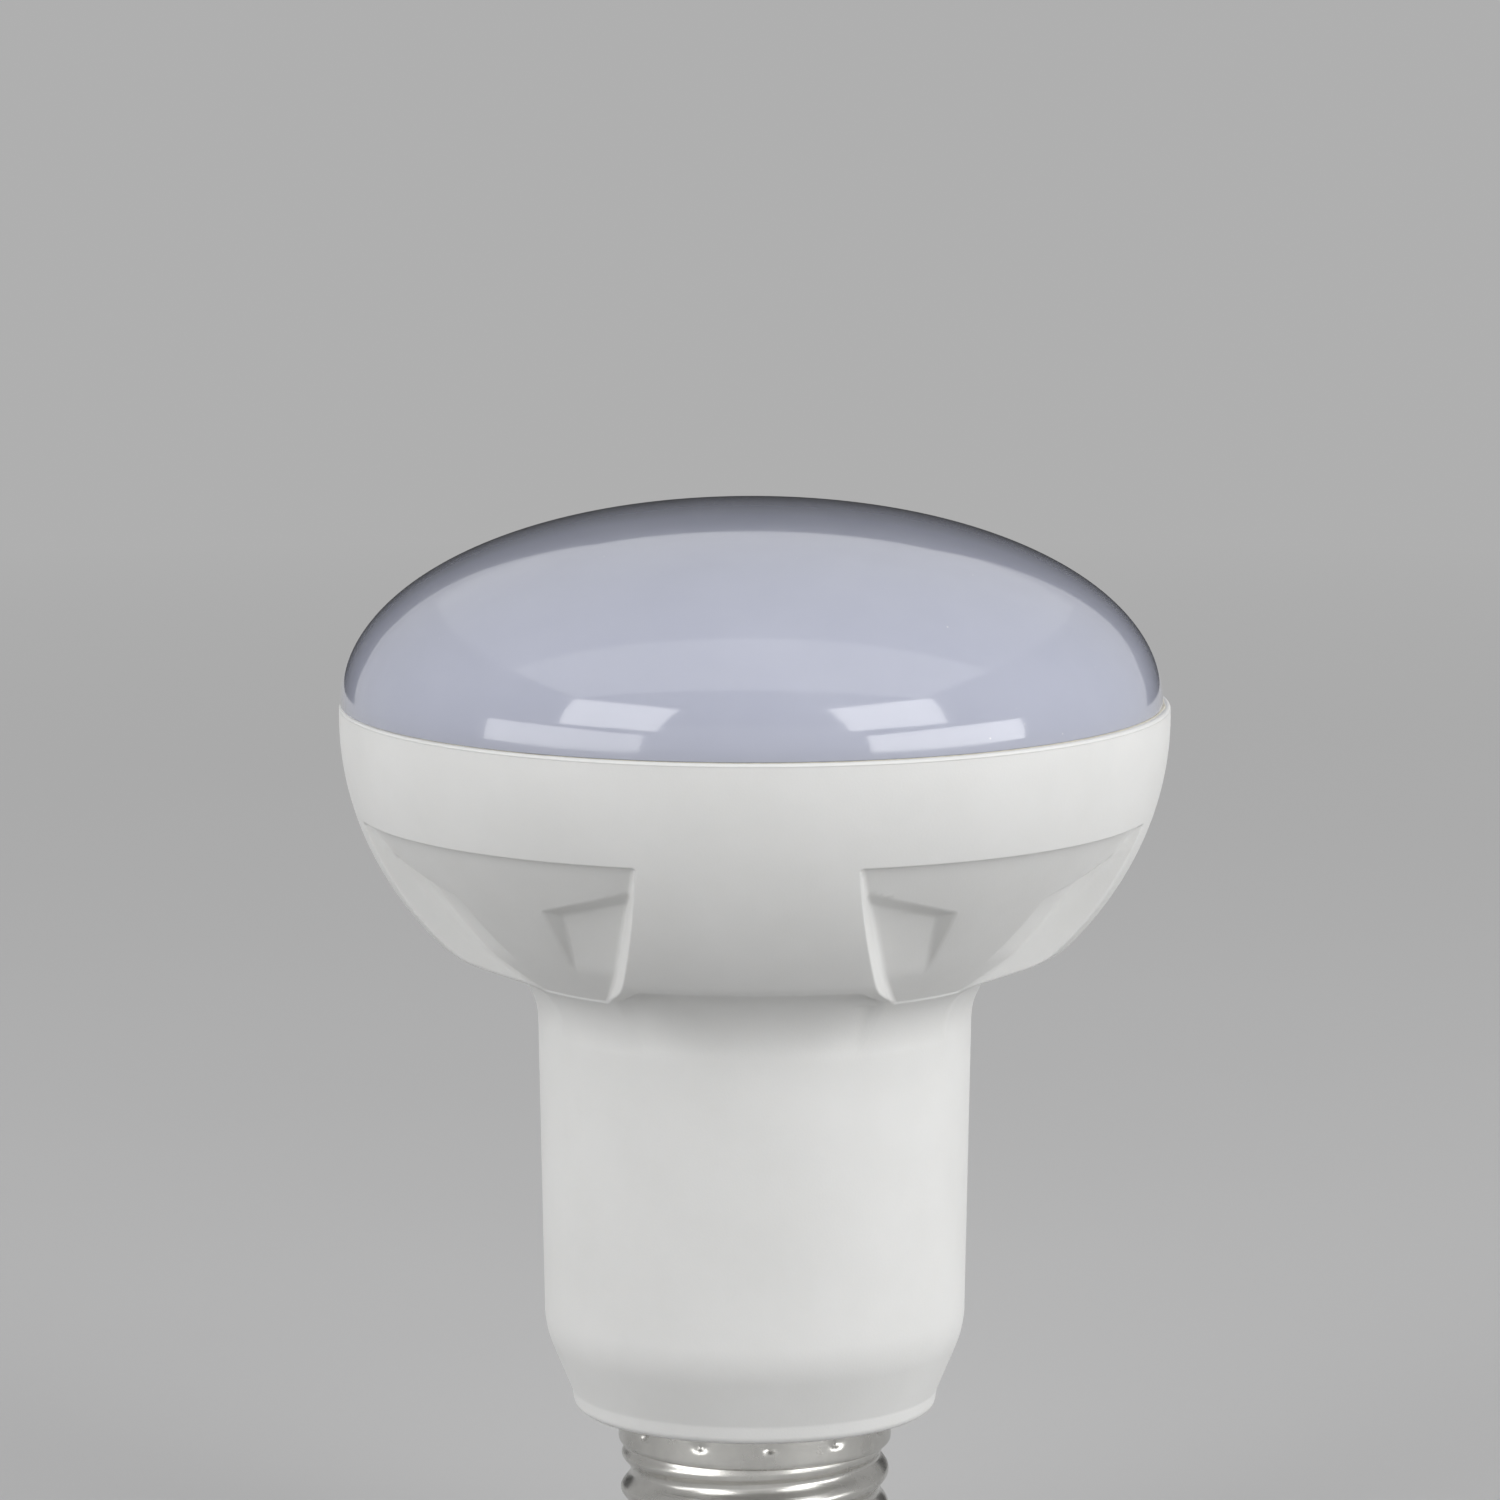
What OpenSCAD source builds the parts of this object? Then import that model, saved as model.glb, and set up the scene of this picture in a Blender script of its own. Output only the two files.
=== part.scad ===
// LED reflector lamp with a screw cap, standing on its centre contact.
// Z runs up the lamp's axis from the underside of that contact, so the lamp
// faces up. Millimetres.

/* [Head] */
// Outer diameter of the head at its rim
head_d = 80; // [72:0.5:96]
// Height of the diffuser's dome above the rim
dome_h = 19.3; // [14:0.1:30]
// Fullness of the dome's curve, where 2 is an ellipse
dome_fullness = 2.08; // [1.9:0.02:2.5]
// How far the diffuser's edge stands in from the rim's outer edge
lens_inset = 0.4; // [0.3:0.05:0.6]
// How far off centre the fitted diffuser sits within its play
lens_shift = 0.3; // [0:0.05:0.3]
// Wall of the diffuser
lens_wall = 1.6; // [1:0.1:2.2]

/* [Bowl] */
// Height of the housing from its shoulder on the cap up to the rim
housing_h = 69.2; // [60:0.2:90]
// Height of the upright land below the rim
rim_land_h = 1.2; // [0.5:0.1:3]
// Height of the bowl's quarter ellipse, were it carried on down to the axis
bowl_curve_h = 33.7; // [30:0.1:42]
// Height from the pads' lower edge to the rim
bowl_h = 23.4; // [21:0.1:27]
// Height of the smooth band between the rim and the recessed panels
band_h = 10.2; // [8.5:0.1:12.5]
// Slope of the pads' underside against the level
underside_slope = 20.7; // [16:0.1:30]
// Wall of the housing
wall = 2; // [1.5:0.1:2.4]

/* [Pads and panels] */
// Width of a pad where it leaves the band
pad_w = 20.2; // [16:0.2:25]
// Angle by which a pad's side walls spread towards the axis
pad_flare = 10; // [5:0.5:12]
// Depth of the step from the band to a panel
panel_step = 0.7; // [0.4:0.1:1.2]
// How far a panel bulges over a straight line
panel_bulge = 0.85; // [0.4:0.05:1.4]
// Width of the pads' foot in which a panel ends, outside the neck
panel_foot_w = 2.8; // [2:0.1:3.5]
// Depth of a pocket at its upper edge
pocket_depth = 1.2; // [0.6:0.1:1.4]
// Width of a pocket, measured away from the pad's wall
pocket_w = 10; // [7:0.5:12]
// Height of a pocket's outer side
pocket_h = 6.4; // [4:0.2:7]
// Thickness of the two legs that frame the recess in a pad's underside
pad_leg_w = 1.6; // [1.2:0.1:3]
// Slope of that recess against the level
recess_slope = 8; // [4:0.5:12]

/* [Neck] */
// Outer diameter of the neck just under the bowl
neck_top_d = 42.1; // [39:0.1:46]
// Outer diameter of the neck above its lower taper
neck_low_d = 40.8; // [38:0.1:45]
// Height of the lower taper's upper corner above the shoulder
taper_h = 8; // [7:0.1:12]
// Outer diameter at the taper's lower end
tail_top_d = 35.6; // [34:0.1:37.5]
// Outer diameter of the tail at the shoulder
tail_d = 35; // [33:0.1:36]
// Height of the tail below the taper
tail_h = 1.8; // [1.4:0.1:4]
// Radius of the fillet between the neck and the pads' underside
neck_fillet = 6.3; // [4:0.1:7]
// Radius of the corner above the taper
corner_round = 10; // [4:0.5:12]

/* [Screw cap] */
// Height of the cap from the centre contact to the shoulder
cap_h = 25.5; // [25:0.5:27]
// Outer diameter over the thread's crests
thread_d = 26.2; // [26:0.05:26.4]
// Depth of the thread from crest to root
thread_depth = 0.97; // [0.8:0.01:1.05]
// Rise of the thread in one turn
pitch = 3.629; // [3.5:0.001:3.7]
// Thickness of the shell's sheet
sheet_t = 0.3; // [0.2:0.05:0.35]
// Outer diameter of the plain skirt above the thread
skirt_d = 26.6; // [26.5:0.1:27.4]
// Height of the plain skirt
skirt_h = 3.6; // [3:0.1:4.2]
// Diameter of the centre contact
contact_d = 9.6; // [8:0.2:11]

/* [Light engine] */
// Depth from the rim down to the ledge that carries the heat sink
ledge_depth = 6.5; // [6:0.1:7.5]
// Thickness of the heat sink's plate
plate_t = 1.5; // [1.2:0.1:1.8]
// Depth from the rim down to the end of the heat sink's skirt
sink_depth = 21; // [14:0.5:22]
// Diameter of the LED board
board_d = 62; // [56:1:66]
// Thickness of the LED board
board_t = 1; // [0.8:0.1:1.6]
// Number of LED packages in the outer ring
outer_leds = 14; // [8:1:18]
// Number of LED packages in the inner ring
inner_leds = 7; // [4:1:9]

/* [Driver] */
// Width of the driver board
driver_w = 31; // [29:0.1:31]
// Height of the driver board
driver_h = 37; // [36:0.5:38]
// Thickness of the driver board
driver_t = 1.2; // [1:0.1:1.6]
// Diameter of the insulation of the wires
wire_d = 1.3; // [1:0.1:1.5]

/* [Hidden] */
$fn = 96;
// Overrun of every cut past the face it opens
over = 1;
// Clearance between pieces that are pushed together by hand
fit_gap = 0.2;

// Levels and radii of the housing's outside
head_r = head_d / 2;
rim_z = cap_h + housing_h;
bowl_mid_z = rim_z - rim_land_h;
band_z = rim_z - band_h;
pad_edge_z = rim_z - bowl_h;
neck_top_r = neck_top_d / 2;
neck_low_r = neck_low_d / 2;
tail_top_z = cap_h + tail_h;
taper_z = cap_h + taper_h;
edge_round = 0.9;
pad_edge_round = 0.5;
rim_round = 0.4;
curve_steps = 20;
round_steps = 7;

// Radius of the bowl's outside at a level below its upright land
function bowl_r(z) = head_r * sqrt(1 - pow((bowl_mid_z - z) / bowl_curve_h, 2));
band_r = bowl_r(band_z);
pad_edge_r = bowl_r(pad_edge_z);

// Level of the pads' underside at a radius
function underside_z(r) = pad_edge_z - (pad_edge_r - r) * tan(underside_slope);

// Level of the roof of the recess in a pad's underside at a radius, and of the
// shelf inside the housing that lies one wall above it
function roof_z(r) = pad_edge_z - (pad_edge_r - r) * tan(recess_slope);
function shelf_z(r) = roof_z(r) + wall / cos(recess_slope);

// The panels' curve is a large arc from the step under the band down to the
// pads' foot. It is carried a little past the foot, into the air below it.
panel_top = [band_r - panel_step, band_z];
panel_end_r = neck_top_r + panel_foot_w;
panel_end = [panel_end_r, underside_z(panel_end_r)];
panel_chord = norm(panel_end - panel_top);
panel_arc_r = pow(panel_chord, 2) / (8 * panel_bulge) + panel_bulge / 2;
panel_out = [panel_top[1] - panel_end[1], panel_end[0] - panel_top[0]] / panel_chord;
panel_mid = (panel_top + panel_end) / 2 - panel_out * (panel_arc_r - panel_bulge);

// Radius on the panels' arc at a level, or on an arc that lies in by some depth
function panel_r(z, depth) =
    panel_mid[0] + sqrt(pow(panel_arc_r - depth, 2) - pow(panel_mid[1] - z, 2));

// Points down an arc that runs beside the panels' arc at some depth
function panel_points(z_top, z_low, depth) = [
    for (i = [0:curve_steps])
        let (z = z_top + (z_low - z_top) * i / curve_steps)
        [panel_r(z, depth), z]
];

// Points of an upright quarter ellipse, from its foot up to an end angle
function ellipse_points(r, h, z, from, to) = [
    for (i = [0:curve_steps])
        let (a = from + (to - from) * i / curve_steps)
        [r * cos(a), z + h * sin(a)]
];

// Points of a round of radius r in the corner b between the lines to a and c
function corner(a, b, c, r) =
    let (
        u = (a - b) / norm(a - b),
        v = (c - b) / norm(c - b),
        half = acos(u * v) / 2,
        reach = r / tan(half),
        mid = b + (u + v) / norm(u + v) * r / sin(half),
        p = b + u * reach - mid,
        q = b + v * reach - mid,
        from = atan2(p[1], p[0]),
        turn = atan2(q[1], q[0]) - from,
        sweep = turn > 180 ? turn - 360 : turn < -180 ? turn + 360 : turn
    )
    [for (i = [0:round_steps])
        let (a = from + sweep * i / round_steps)
        mid + r * [cos(a), sin(a)]];

// Inside of the housing
rim_wall = 1.6;
socket_r = head_r - rim_wall;
lens_play = 0.35;
seal_w = 0.6;
seal_gap = 0.05;
ledge_z = rim_z - ledge_depth;
ledge_w = 2.4;
ledge_r = socket_r - ledge_w;
floor_t = 2;
floor_z = cap_h + floor_t;
bore_low_r = tail_top_d / 2 - wall;
bore_mid_r = neck_low_r - wall;
bore_top_r = neck_top_r - wall;
bore_top_z = shelf_z(bore_top_r);

// Radius at which the shelf runs into the wall behind the panels, where its
// line crosses that wall's circle
shelf_rise = tan(recess_slope);
shelf_offset = shelf_z(0) - panel_mid[1];
shelf_a = 1 + pow(shelf_rise, 2);
shelf_b = shelf_rise * shelf_offset - panel_mid[0];
shelf_c = pow(panel_mid[0], 2) + pow(shelf_offset, 2) - pow(panel_arc_r - wall, 2);
shelf_r = (sqrt(pow(shelf_b, 2) - shelf_a * shelf_c) - shelf_b) / shelf_a;

// The spigot that the cap is pushed over, with a collar inside the skirt
shell_foot_z = 5;
insulator_top_z = 8;
root_r = thread_d / 2 - thread_depth - sheet_t;
spigot_r = root_r - fit_gap;
spigot_wall = 1.7;
spigot_bore_r = spigot_r - spigot_wall;
spigot_z = insulator_top_z + fit_gap;
skirt_r = skirt_d / 2;
collar_gap = 0.1;
collar_r = skirt_r - sheet_t - collar_gap;
shoulder_t = 0.5;
skirt_z = cap_h - skirt_h;
collar_z = skirt_z + shoulder_t + collar_gap;

// Outside of the housing as a half section, from the spigot up to the rim
function housing_outline() =
    let (
        tail_foot = [tail_d / 2, cap_h],
        tail_top = [tail_top_d / 2, tail_top_z],
        taper_top = [neck_low_r, taper_z],
        neck_top = [neck_top_r, underside_z(neck_top_r)],
        pad_edge = [pad_edge_r, pad_edge_z],
        edge_angle = -asin((bowl_h - rim_land_h) / bowl_curve_h),
        bowl = ellipse_points(head_r, bowl_curve_h, bowl_mid_z, edge_angle, 0)
    )
    concat(
        [[0, spigot_z], [spigot_r, spigot_z], [spigot_r, collar_z],
         [collar_r, collar_z], [collar_r, cap_h]],
        corner([collar_r, cap_h], tail_foot, tail_top, edge_round),
        [tail_top],
        corner(tail_top, taper_top, neck_top, corner_round),
        corner(taper_top, neck_top, pad_edge, neck_fillet),
        corner(neck_top, pad_edge, bowl[2], pad_edge_round),
        [for (i = [1:curve_steps]) bowl[i]],
        corner([head_r, bowl_mid_z], [head_r, rim_z], [0, rim_z], rim_round),
        [[0, rim_z]]
    );

// The round hollow in the housing: the spigot's bore, the driver's chamber,
// the bowl behind the panels and the diffuser's socket with its sealant groove
function housing_hollow() = concat(
    [[0, spigot_z - over], [spigot_bore_r, spigot_z - over], [spigot_bore_r, floor_z],
     [bore_low_r, floor_z], [bore_mid_r, taper_z], [bore_top_r, bore_top_z]],
    panel_points(shelf_z(shelf_r), band_z, wall),
    [[ledge_r, ledge_z], [socket_r, ledge_z], [socket_r, rim_z - seal_w],
     [socket_r + seal_w, rim_z], [socket_r + seal_w, rim_z + over], [0, rim_z + over]]
);

// Plan of four wedges that are w wide at radius r and widen towards the axis
module wedges(r, w, flare) {
    reach = head_r + over;
    outer = w / 2 - (reach - r) * tan(flare);
    inner = w / 2 + r * tan(flare);
    for (a = [0:90:270])
        rotate(a)
            polygon([[0, -inner], [reach, -outer], [reach, outer], [0, inner]]);
}

// Plan of the four pads, with their side walls drawn in by some inset
module pads_plan(inset) {
    wedges(band_r, pad_w - 2 * inset, pad_flare);
}

// The space outside a half section that starts at radius r and level z
module outside_of(points) {
    far = head_r + 2 * over;
    last = points[len(points) - 1];
    rotate_extrude()
        polygon(concat(points, [[last[0], taper_z], [far, taper_z], [far, points[0][1]]]));
}

// Plan between the pads, down through the whole height of the bowl
module between_pads() {
    translate([0, 0, taper_z])
        linear_extrude(height = rim_z - taper_z)
            difference() {
                circle(r = head_r + 2 * over);
                pads_plan(0);
            }
}

// The four recessed panels, as what is cut away over them
module panel_cuts() {
    overrun_z = panel_end[1] - over / 2;
    intersection() {
        between_pads();
        outside_of(panel_points(band_z, overrun_z, 0));
    }
}

// The eight pockets, one beside each side wall of the pads. Their floor is a
// straight cone that runs out into the bulge of the panel.
module pocket_cuts() {
    cone_top = band_z - over;
    cone_low = band_z - pocket_drop - pocket_h;
    floor_top = [panel_r(cone_top, 0) - pocket_depth, cone_top];
    floor_low = [panel_r(cone_low, 0), cone_low];
    floor_end = floor_low + (floor_low - floor_top) * pocket_runout_share;
    intersection() {
        between_pads();
        outside_of([floor_top, floor_end]);
        union()
            for (a = [0:90:270], side = [0, 1])
                rotate(a)
                    mirror([0, side, 0])
                        rotate([0, 0, pocket_turn])
                            rotate([90, 0, 90])
                                linear_extrude(height = head_r + over)
                                    pocket_outline();
    }
}

// A pocket's outline, seen square on: its upper edge climbs towards the pad
pocket_turn = 28;
pocket_drop = 5.6;
pocket_rise = 15;
pocket_out_share = 0.4;
pocket_runout_share = 0.3;
module pocket_outline() {
    out_x = pocket_w * pocket_out_share;
    top_z = band_z - pocket_drop;
    low_z = top_z - pocket_h - over;
    in_x = out_x - pocket_w - panel_foot_w;
    polygon([[out_x, low_z], [out_x, top_z],
             [in_x, top_z + (out_x - in_x) * tan(pocket_rise)], [in_x, low_z]]);
}

// The recess in each pad's underside. Its roof starts at the pad's lower edge
// and is less steep than the legs on its two sides, so it deepens inwards.
recess_flare = 13;
recess_round = 7;
module leg_recesses() {
    low_z = roof_z(neck_top_r) - recess_round;
    far = head_r + over;
    edge_w = pad_w + 2 * (band_r - pad_edge_r) * tan(pad_flare) - 2 * pad_leg_w;
    foot = [neck_top_r, low_z];
    edge = [pad_edge_r, pad_edge_z];
    intersection() {
        translate([0, 0, low_z])
            linear_extrude(height = bowl_h)
                wedges(pad_edge_r, edge_w, recess_flare);
        rotate_extrude()
            polygon(concat([foot], corner(foot, [neck_top_r, roof_z(neck_top_r)], edge, recess_round),
                           [edge, [far, pad_edge_z], [far, low_z]]));
    }
}

// The pads are cored out from inside to about the housing's wall
module pad_cores() {
    core_low_z = shelf_z(pad_edge_r);
    core_top_z = band_z;
    low_angle = -asin((bowl_mid_z - core_low_z) / (bowl_curve_h - wall));
    top_angle = -asin((bowl_mid_z - core_top_z) / (bowl_curve_h - wall));
    core = ellipse_points(head_r - wall, bowl_curve_h - wall, bowl_mid_z, low_angle, top_angle);
    intersection() {
        rotate_extrude()
            polygon(concat([[bore_top_r, core_low_z]], core, [[bore_top_r, core_top_z]]));
        translate([0, 0, core_low_z])
            linear_extrude(height = core_top_z - core_low_z)
                pads_plan(wall);
    }
}

// Two pairs of guides in the neck that hold the driver board by its edges
driver_z = floor_z + fit_gap;
guide_gap = 0.15;
guide_w = 1.4;
guide_grip = 2.2;
guide_h = driver_h - 2 * guide_grip;
module board_guides() {
    guide_x = driver_w / 2 - guide_grip;
    guide_y = driver_t / 2 + guide_gap;
    intersection() {
        for (side = [0, 1], face = [0, 1])
            mirror([side, 0, 0])
                mirror([0, face, 0])
                    translate([guide_x, guide_y, floor_z - floor_t / 2])
                        cube([neck_low_r - guide_x, guide_w, guide_h + floor_t / 2]);
        rotate_extrude()
            polygon([[0, cap_h], [bore_low_r + wall / 2, floor_z], [bore_mid_r + wall / 2, taper_z],
                     [bore_top_r + wall / 2, bore_top_z], [0, bore_top_z]]);
    }
}

// A notch in the spigot's lower edge, where the neutral wire turns outwards
notch_w = 2.2;
notch_h = 2.6;
module wire_notch() {
    translate([spigot_bore_r - over, -notch_w / 2, spigot_z - over])
        cube([spigot_wall + 2 * over, notch_w, notch_h + over]);
}

module housing() {
    color("whitesmoke")
        difference() {
            union() {
                difference() {
                    rotate_extrude() polygon(housing_outline());
                    rotate_extrude() polygon(housing_hollow());
                    pad_cores();
                }
                board_guides();
            }
            panel_cuts();
            pocket_cuts();
            leg_recesses();
            wire_notch();
        }
}

// Points of the dome above the rim, from one angle to another
function dome_points(r, h, from, to) = [
    for (i = [0:curve_steps])
        let (a = from + (to - from) * i / curve_steps)
        [r * pow(cos(a), 2 / dome_fullness), rim_z + h * pow(sin(a), 2 / dome_fullness)]
];

// Milky diffuser: a dome whose skirt goes down into the socket
lens_r = head_r - lens_inset;
lens_skirt_r = socket_r - lens_play;
lens_skirt_t = 1.4;
plate_top_z = ledge_z + plate_t;
lens_skirt_z = plate_top_z + fit_gap;
module diffuser() {
    inner_h = dome_h - lens_wall;
    inner_r = lens_r - lens_wall;
    foot_share = (lens_skirt_r - lens_skirt_t) / inner_r;
    foot_angle = acos(pow(foot_share, dome_fullness / 2));
    color("lightsteelblue")
        translate([-lens_shift, 0, 0])
            rotate_extrude()
                polygon(concat(
                    [[lens_skirt_r, rim_z], [lens_skirt_r, lens_skirt_z],
                     [lens_skirt_r - lens_skirt_t, lens_skirt_z]],
                    dome_points(inner_r, inner_h, foot_angle, 90),
                    dome_points(lens_r, dome_h, 90, 0)
                ));
}

// Bead of silicone that fills the groove around the diffuser's skirt
module sealant_bead() {
    inner_r = socket_r + seal_gap;
    outer_r = socket_r + seal_w - 2 * seal_gap;
    color("gainsboro")
        rotate_extrude()
            polygon([[inner_r, rim_z], [inner_r, rim_z - (outer_r - inner_r)], [outer_r, rim_z]]);
}

// Aluminium plate with a drawn skirt, seated on the housing's ledge
sink_gap = 0.2;
sink_t = 1.2;
lead_hole_r = 4.5;
screw_circle_share = 0.63;
screw_count = 3;
screw_r = 1.45;
screw_hole_r = 1.55;
module heat_sink() {
    plate_r = socket_r - fit_gap;
    skirt_top_r = ledge_r - sink_gap;
    skirt_low_z = rim_z - sink_depth;
    outer = panel_points(band_z, skirt_low_z, wall + sink_gap);
    inner = panel_points(skirt_low_z, band_z, wall + sink_gap + sink_t);
    color("silver")
        difference() {
            rotate_extrude()
                polygon(concat(
                    [[lead_hole_r, plate_top_z], [plate_r, plate_top_z], [plate_r, ledge_z],
                     [skirt_top_r, ledge_z]],
                    outer, inner,
                    [[skirt_top_r - sink_t, ledge_z], [lead_hole_r, ledge_z]]
                ));
            screw_places()
                translate([0, 0, ledge_z - over])
                    cylinder(r = screw_hole_r, h = plate_t + 2 * over);
        }
}

module screw_places() {
    for (i = [0:screw_count - 1])
        rotate(90 + i * 360 / screw_count)
            translate([board_d / 2 * screw_circle_share, 0, 0])
                children();
}

// Round aluminium board that carries the LED packages
board_top_z = plate_top_z + board_t;
module led_board() {
    color("white")
        translate([0, 0, plate_top_z])
            difference() {
                cylinder(d = board_d, h = board_t);
                translate([0, 0, -over])
                    cylinder(r = lead_hole_r, h = board_t + 2 * over);
                screw_places()
                    translate([0, 0, -over])
                        cylinder(r = screw_hole_r, h = board_t + 2 * over);
            }
}

// LED packages in two rings, each a block with a round window
chip_l = 3.5;
chip_w = 2.8;
chip_h = 0.7;
window_r = 1.1;
window_depth = 0.2;
outer_ring_share = 0.82;
inner_ring_share = 0.46;
module led_chip() {
    difference() {
        translate([-chip_w / 2, -chip_l / 2, 0])
            cube([chip_w, chip_l, chip_h]);
        translate([0, 0, chip_h - window_depth])
            cylinder(r = window_r, h = window_depth + over);
    }
}

module led_ring(count, share) {
    for (i = [0:count - 1])
        rotate((i + 1 / 2) * 360 / count)
            translate([board_d / 2 * share, 0, board_top_z])
                led_chip();
}

module led_chips() {
    color("khaki") {
        led_ring(outer_leds, outer_ring_share);
        led_ring(inner_leds, inner_ring_share);
    }
}

// Pan-head screws through the LED board into the plate
screw_head_r = 2.75;
screw_head_h = 1.8;
screw_dome_h = 0.6;
screw_l = 6;
screw_slot_w = 0.7;
screw_slot_depth = 0.9;
module board_screw() {
    top = board_top_z + screw_head_h;
    difference() {
        rotate_extrude()
            polygon([[0, board_top_z - screw_l], [screw_r, board_top_z - screw_l],
                     [screw_r, board_top_z], [screw_head_r, board_top_z],
                     [screw_head_r, top - screw_dome_h],
                     [screw_head_r - screw_dome_h, top], [0, top]]);
        for (a = [0, 90])
            rotate(a)
                translate([-screw_head_r * 2 / 3, -screw_slot_w / 2, top - screw_slot_depth])
                    cube([screw_head_r * 4 / 3, screw_slot_w, screw_slot_depth + over]);
    }
}

module board_screws() {
    color("gray") screw_places() board_screw();
}

// Push-in terminal beside the centre hole of the LED board
terminal_l = 5;
terminal_w = 6.4;
terminal_h = 3;
terminal_y = 6.6;
lead_pitch = 3;
lead_entry_depth = 1.6;
entry_r = wire_d / 2 + fit_gap;
lead_z = board_top_z + terminal_h / 2;
module lead_terminal() {
    color("ivory")
        difference() {
            translate([-terminal_w / 2, terminal_y, board_top_z])
                cube([terminal_w, terminal_l, terminal_h]);
            for (side = [-1, 1])
                translate([side * lead_pitch / 2, terminal_y + lead_entry_depth, lead_z])
                    rotate([90, 0, 0])
                        cylinder(r = entry_r, h = lead_entry_depth + over);
        }
}

// A round wire swept along points, with one ring of sides at each point
wire_sides = 8;
function direction(points, i) =
    let (
        a = points[max(i - 1, 0)],
        b = points[min(i + 1, len(points) - 1)]
    )
    (b - a) / norm(b - a);

// One more round of corner cutting on a route, with its two ends kept
function smoothed(points) = concat(
    [points[0]],
    [for (i = [0:len(points) - 2], s = [1 / 4, 3 / 4])
        points[i] * (1 - s) + points[i + 1] * s],
    [points[len(points) - 1]]
);

module wire(points, d, across) {
    rings = [
        for (i = [0:len(points) - 1])
            let (
                t = direction(points, i),
                u = cross(t, across) / norm(cross(t, across)),
                v = cross(t, u)
            )
            for (k = [0:wire_sides - 1])
                let (a = k * 360 / wire_sides)
                points[i] + d / 2 * (u * cos(a) + v * sin(a))
    ];
    last = (len(points) - 1) * wire_sides;
    walls = [
        for (i = [0:len(points) - 2], k = [0:wire_sides - 1])
            let (
                n = (k + 1) % wire_sides,
                a = i * wire_sides,
                b = a + wire_sides
            )
            each [[a + k, b + k, b + n], [a + k, b + n, a + n]]
    ];
    ends = [
        [for (k = [0:wire_sides - 1]) k],
        [for (k = [0:wire_sides - 1]) last + wire_sides - 1 - k]
    ];
    polyhedron(rings, concat(walls, ends));
}

// The driver board stands upright in the neck, held by the guides
driver_top_z = driver_z + driver_h;
module driver_board() {
    color("darkolivegreen")
        translate([-driver_w / 2, -driver_t / 2, driver_z])
            cube([driver_w, driver_t, driver_h]);
}

// Places a part on the driver board's front or back face. The place is given
// in shares: across half the board's width, and up its height.
module on_front(place_shares) {
    translate([place_shares[0] * driver_w / 2, -driver_t / 2, driver_z + place_shares[1] * driver_h])
        rotate([90, 0, 0])
            children();
}

module on_back(place_shares) {
    translate([place_shares[0] * driver_w / 2, driver_t / 2, driver_z + place_shares[1] * driver_h])
        rotate([-90, 0, 0])
            children();
}

// Transformer: a ferrite core with a centre leg, and the wound bobbin on it
core_w = 13;
core_l = 12;
core_t = 6;
core_leg_w = 3.6;
core_yoke_t = 2.4;
core_side_t = 2;
coil_t = 2.2;
coil_gap = 0.15;
transformer_shares = [0, 0.8];
coil_w = core_leg_w + 2 * (core_w - core_leg_w - 2 * core_side_t) / 2 - 2 * coil_gap;
coil_l = core_l - 2 * core_yoke_t - 2 * coil_gap;
coil_depth = core_t + 2 * coil_t;
module transformer_core() {
    window_w = (core_w - core_leg_w - 2 * core_side_t) / 2;
    window_l = core_l - 2 * core_yoke_t;
    color("dimgray")
        on_front(transformer_shares)
            translate([0, 0, (coil_depth - core_t) / 2])
                difference() {
                    translate([-core_w / 2, -core_l / 2, 0])
                        cube([core_w, core_l, core_t]);
                    for (side = [0, 1])
                        mirror([side, 0, 0])
                            translate([core_leg_w / 2, -window_l / 2, -over])
                                cube([window_w, window_l, core_t + 2 * over]);
                }
}

module transformer_coil() {
    hole_w = core_leg_w + 2 * coil_gap;
    hole_t = core_t + 2 * coil_gap;
    bevel = coil_t / 2;
    color("goldenrod")
        on_front(transformer_shares)
            rotate([90, 0, 0])
                translate([0, coil_depth / 2, -coil_l / 2])
                    difference() {
                        linear_extrude(height = coil_l)
                            polygon([
                                for (s = [[1, 1], [-1, 1], [-1, -1], [1, -1]])
                                    let (
                                        x = s[0] * coil_w / 2,
                                        y = s[1] * coil_depth / 2,
                                        near = [x - s[0] * bevel, y],
                                        side = [x, y - s[1] * bevel]
                                    )
                                    each (s[0] * s[1] > 0 ? [side, near] : [near, side])
                            ]);
                        translate([-hole_w / 2, -hole_t / 2, -over])
                            cube([hole_w, hole_t, coil_l + 2 * over]);
                    }
}

// Electrolytic capacitors stand out from the board, with a rolled groove
can_d = 8;
can_h = 11.5;
can_edge = 0.5;
groove_z = 1.8;
groove_depth = 0.5;
input_capacitor_shares = [-0.52, 0.325];
output_capacitor_shares = [0.52, 0.325];
module capacitor(d, h) {
    r = d / 2;
    rotate_extrude()
        polygon([[0, 0], [r - can_edge, 0], [r, can_edge], [r, groove_z - groove_depth],
                 [r - groove_depth, groove_z], [r, groove_z + groove_depth],
                 [r, h - can_edge], [r - can_edge, h], [0, h]]);
}

module input_capacitor() {
    color("navy") on_front(input_capacitor_shares) capacitor(can_d, can_h);
}

module output_capacitor() {
    color("darkgreen") on_front(output_capacitor_shares) capacitor(can_d, can_h);
}

// Film capacitor in a moulded box
film_w = 7;
film_l = 4.6;
film_h = 8;
film_capacitor_shares = [0.53, 0.545];
module film_capacitor() {
    color("gold")
        on_front(film_capacitor_shares)
            translate([-film_w / 2, -film_l / 2, 0])
                cube([film_w, film_l, film_h]);
}

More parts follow.
